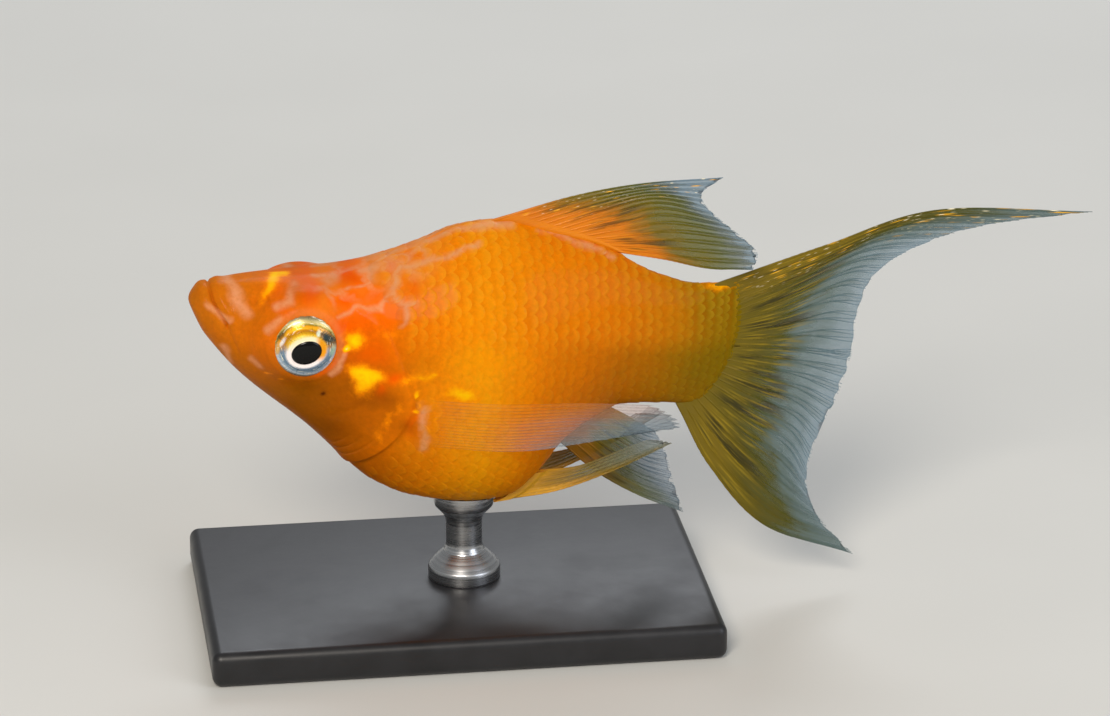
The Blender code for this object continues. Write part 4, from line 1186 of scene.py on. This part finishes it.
# The pectoral fins: clear paddles behind the gill covers, folded back along the flanks, with a mauve
# base and rays that run almost level.
pectoral_stops = (
    (0.0, "#B8806E"), (0.08, "#D0905A"), (0.3, "#DCA060"), (0.6, "#C09080"), (0.8, "#8C98A0"),
    (1.0, "#8498A6"),
)
pectoral_ray_stops = (
    (0.0, "#D88040"), (0.08, "#DC8430"), (0.35, "#D88440"), (0.58, "#CC9C8C"), (0.78, "#A8B0B4"),
    (1.0, "#9CAEB8"),
)
pectoral_finish = fin_finishes(
    "clear rosy", dict(streaks=0.0, root=0.0), dict(stops=pectoral_stops, clear=(0.03, 0.24)),
    dict(stops=pectoral_ray_stops, clear=(0.0, 0.32), ray=0.07),
)
pectoral_root = [(-2.7, -float(side_at(-2.7, z)) - 0.15, z) for z in (-2.2, -3.6, -5.0, -6.3)]
pectoral_rows = (
    pectoral_root,
    ((3.3, -8.1, -2.1), (3.5, -8.2, -4.2), (2.5, -8.1, -6.1)),
    ((9.6, -8.6, -1.8), (9.8, -8.7, -3.7), (5.6, -8.3, -6.0)),
    (
        (15.4, -9.0, -1.8), (17.0, -9.2, -2.6), (17.7, -9.3, -3.6), (15.0, -9.0, -4.2),
        (11.8, -8.7, -4.9), (8.4, -8.4, -5.6),
    ),
)
for side, word in SIDES:
    grow_fin(
        "pectoral_paddle_" + word, "pectoral_fin_" + word, pectoral_rows, pectoral_finish,
        rays=16, branches=2, length=19, way=-side, thick=0.42, inward=(-0.5, 0.6, 0.0), foot=0.1,
    )

# The pelvic fins: two narrow, pointed fins rooted side by side under the belly and folded back along
# it, golden at the base, with a pale first ray.
pelvic_stops = ((0.0, "#E0A428"), (0.15, "#B8861C"), (0.4, "#8A7630"), (0.7, "#8A8C70"), (1.0, "#A8B0A8"))
pelvic_finish = fin_finishes(
    "clear golden", dict(stops=pelvic_stops, gold=0.1),
    dict(streaks=0.4, clear=(0.8, 0.3)), dict(streaks=0.2, clear=(0.85, 0.45), ray=0.1),
)
pelvic_root = [(x, -1.7, float(under_at(x, 1.7)) - 0.3) for x in (5.2, 6.1, 7.0, 7.8)]
pelvic_rows = (
    pelvic_root,
    ((9.3, -2.0, -12.0), (10.2, -2.0, -10.8), (10.9, -2.0, -9.9)),
    ((13.8, -2.6, -10.0), (14.2, -2.6, -9.0), (14.2, -2.5, -8.3)),
    ((18.3, -3.2, -7.4), (17.3, -3.1, -7.2), (16.3, -3.0, -7.2)),
)
for side, word in SIDES:
    grow_fin(
        "pelvic_blade_" + word, "pelvic_fin_" + word, pelvic_rows, pelvic_finish,
        rays=6, branches=2, length=14, way=-side, thick=0.8,
    )

# The base of the stand: a flat steel plate with rounded edges under satin black lacquer. It isn't in
# the photograph, where the fish swims.
BASE_SIZE = (42.0, 27.0, 3.0)
BASE_BEVEL = 0.8

work = bmesh.new()
bmesh.ops.create_cube(work, size=1)
bmesh.ops.scale(work, verts=work.verts, vec=[s * MM for s in BASE_SIZE])
bmesh.ops.translate(work, verts=work.verts, vec=(0, 0, BASE_SIZE[2] / 2 * MM))
bmesh.ops.bevel(work, geom=work.edges[:], offset=BASE_BEVEL * MM, segments=8, profile=0.5, affect="EDGES")
bmesh.ops.recalc_face_normals(work, faces=work.faces)
mesh = bpy.data.meshes.new("stand_plate")
work.to_mesh(mesh)
work.free()
mesh.shade_smooth()
mesh.set_sharp_from_angle(angle=math.radians(40))

# Satin lacquer, sprayed: fine orange peel about 0.8 mm across, and a little dust and wear in its gloss.
lacquer, add, shader = new_material("satin black lacquer on steel")
place = add("TexCoord").outputs["Object"]
peel = add("TexNoise", {"Vector": place, "Scale": 1250.0, "Detail": 2.0})
dust = add("TexNoise", {"Vector": place, "Scale": 160.0, "Detail": 5.0, "Roughness": 0.65})
finish = {
    "Base Color": add("ValToRGB", [dust], ((0.35, "#151517"), (0.7, "#232326"))),
    "Roughness": add("MapRange", [dust, 0.3, 0.7, 0.34, 0.5]),
    "Normal": add("Bump", {"Height": peel, "Strength": 0.25, "Distance": 0.00003}),
}
feed(shader, finish)
mesh.materials.append(lacquer)
add_piece("stand_plate", mesh, "stand_base", "stand_base")

# The rod of the stand: turned from bright steel, with a foot pressed into the plate, a waist and a
# cupped head that fits the fish's belly.
ROD_X = 1.0
ROD_SIDES = 128
ROD_GAP = 0.02
# The rod's outline, as (radius, height) points.
ROD_PROFILE = (
    (0.0, 3.0), (2.95, 3.0), (3.0, 3.08), (3.0, 3.9), (2.94, 4.1), (2.6, 4.5), (2.1, 5.0), (1.7, 5.4),
    (1.5, 5.9), (1.5, 7.9), (1.56, 8.3), (1.8, 8.75), (2.2, 9.2), (2.42, 9.45), (2.5, 9.75), (2.5, 14.0),
    (0.0, 14.0),
)


def rod_rows():
    """The rod's rings, from the plate up, with the head cut to the shape of the belly."""
    profile = np.array(ROD_PROFILE)
    runs = [np.linspace(start, end, 7)[:-1] for start, end in zip(profile, profile[1:])]
    height = np.concatenate(runs + [profile[-1:]])
    turn = np.linspace(0, 2 * np.pi, ROD_SIDES, endpoint=False)[None, :]
    x = ROD_X + height[:, :1] * np.cos(turn)
    y = height[:, :1] * np.sin(turn)
    # The belly's height over each point, found in a few steps because the fish is tipped.
    fish_x = x.copy()
    for _ in range(12):
        world_z = under_at(fish_x, y) * math.cos(NOSE_UP) - fish_x * math.sin(NOSE_UP) + FISH_HEIGHT
        fish_x = x * math.cos(NOSE_UP) - (world_z - FISH_HEIGHT) * math.sin(NOSE_UP)
    z = np.minimum(height[:, 1:] + 0 * turn, world_z - ROD_GAP)
    return np.stack([x, y, z], -1) * MM


# Bright steel turned on a lathe: tool marks run round the rod, drawn 0.15 mm apart so that they show.
steel, add, shader = new_material("turned bright steel")
place = add("TexCoord").outputs["Object"]
marks = add("VectorMath MULTIPLY", [place, (60.0, 60.0, 6500.0)])
lathe = add("TexNoise", {"Vector": marks, "Scale": 1.0, "Detail": 3.0})
finish = {
    "Base Color": add("ValToRGB", [lathe], ((0.3, "#A9AAAC"), (0.7, "#C6C7C9"))),
    "Metallic": 1.0,
    "Roughness": add("MapRange", [lathe, 0.3, 0.7, 0.2, 0.36]),
    "Normal": add("Bump", {"Height": lathe, "Strength": 0.25, "Distance": 0.00002}),
}
feed(shader, finish)
mesh = welded(sheet_mesh("stand_stem", rod_rows(), True))
mesh.set_sharp_from_angle(angle=math.radians(35))
mesh.materials.append(steel)
add_piece("stand_stem", mesh, "stand_rod", "stand_rod")
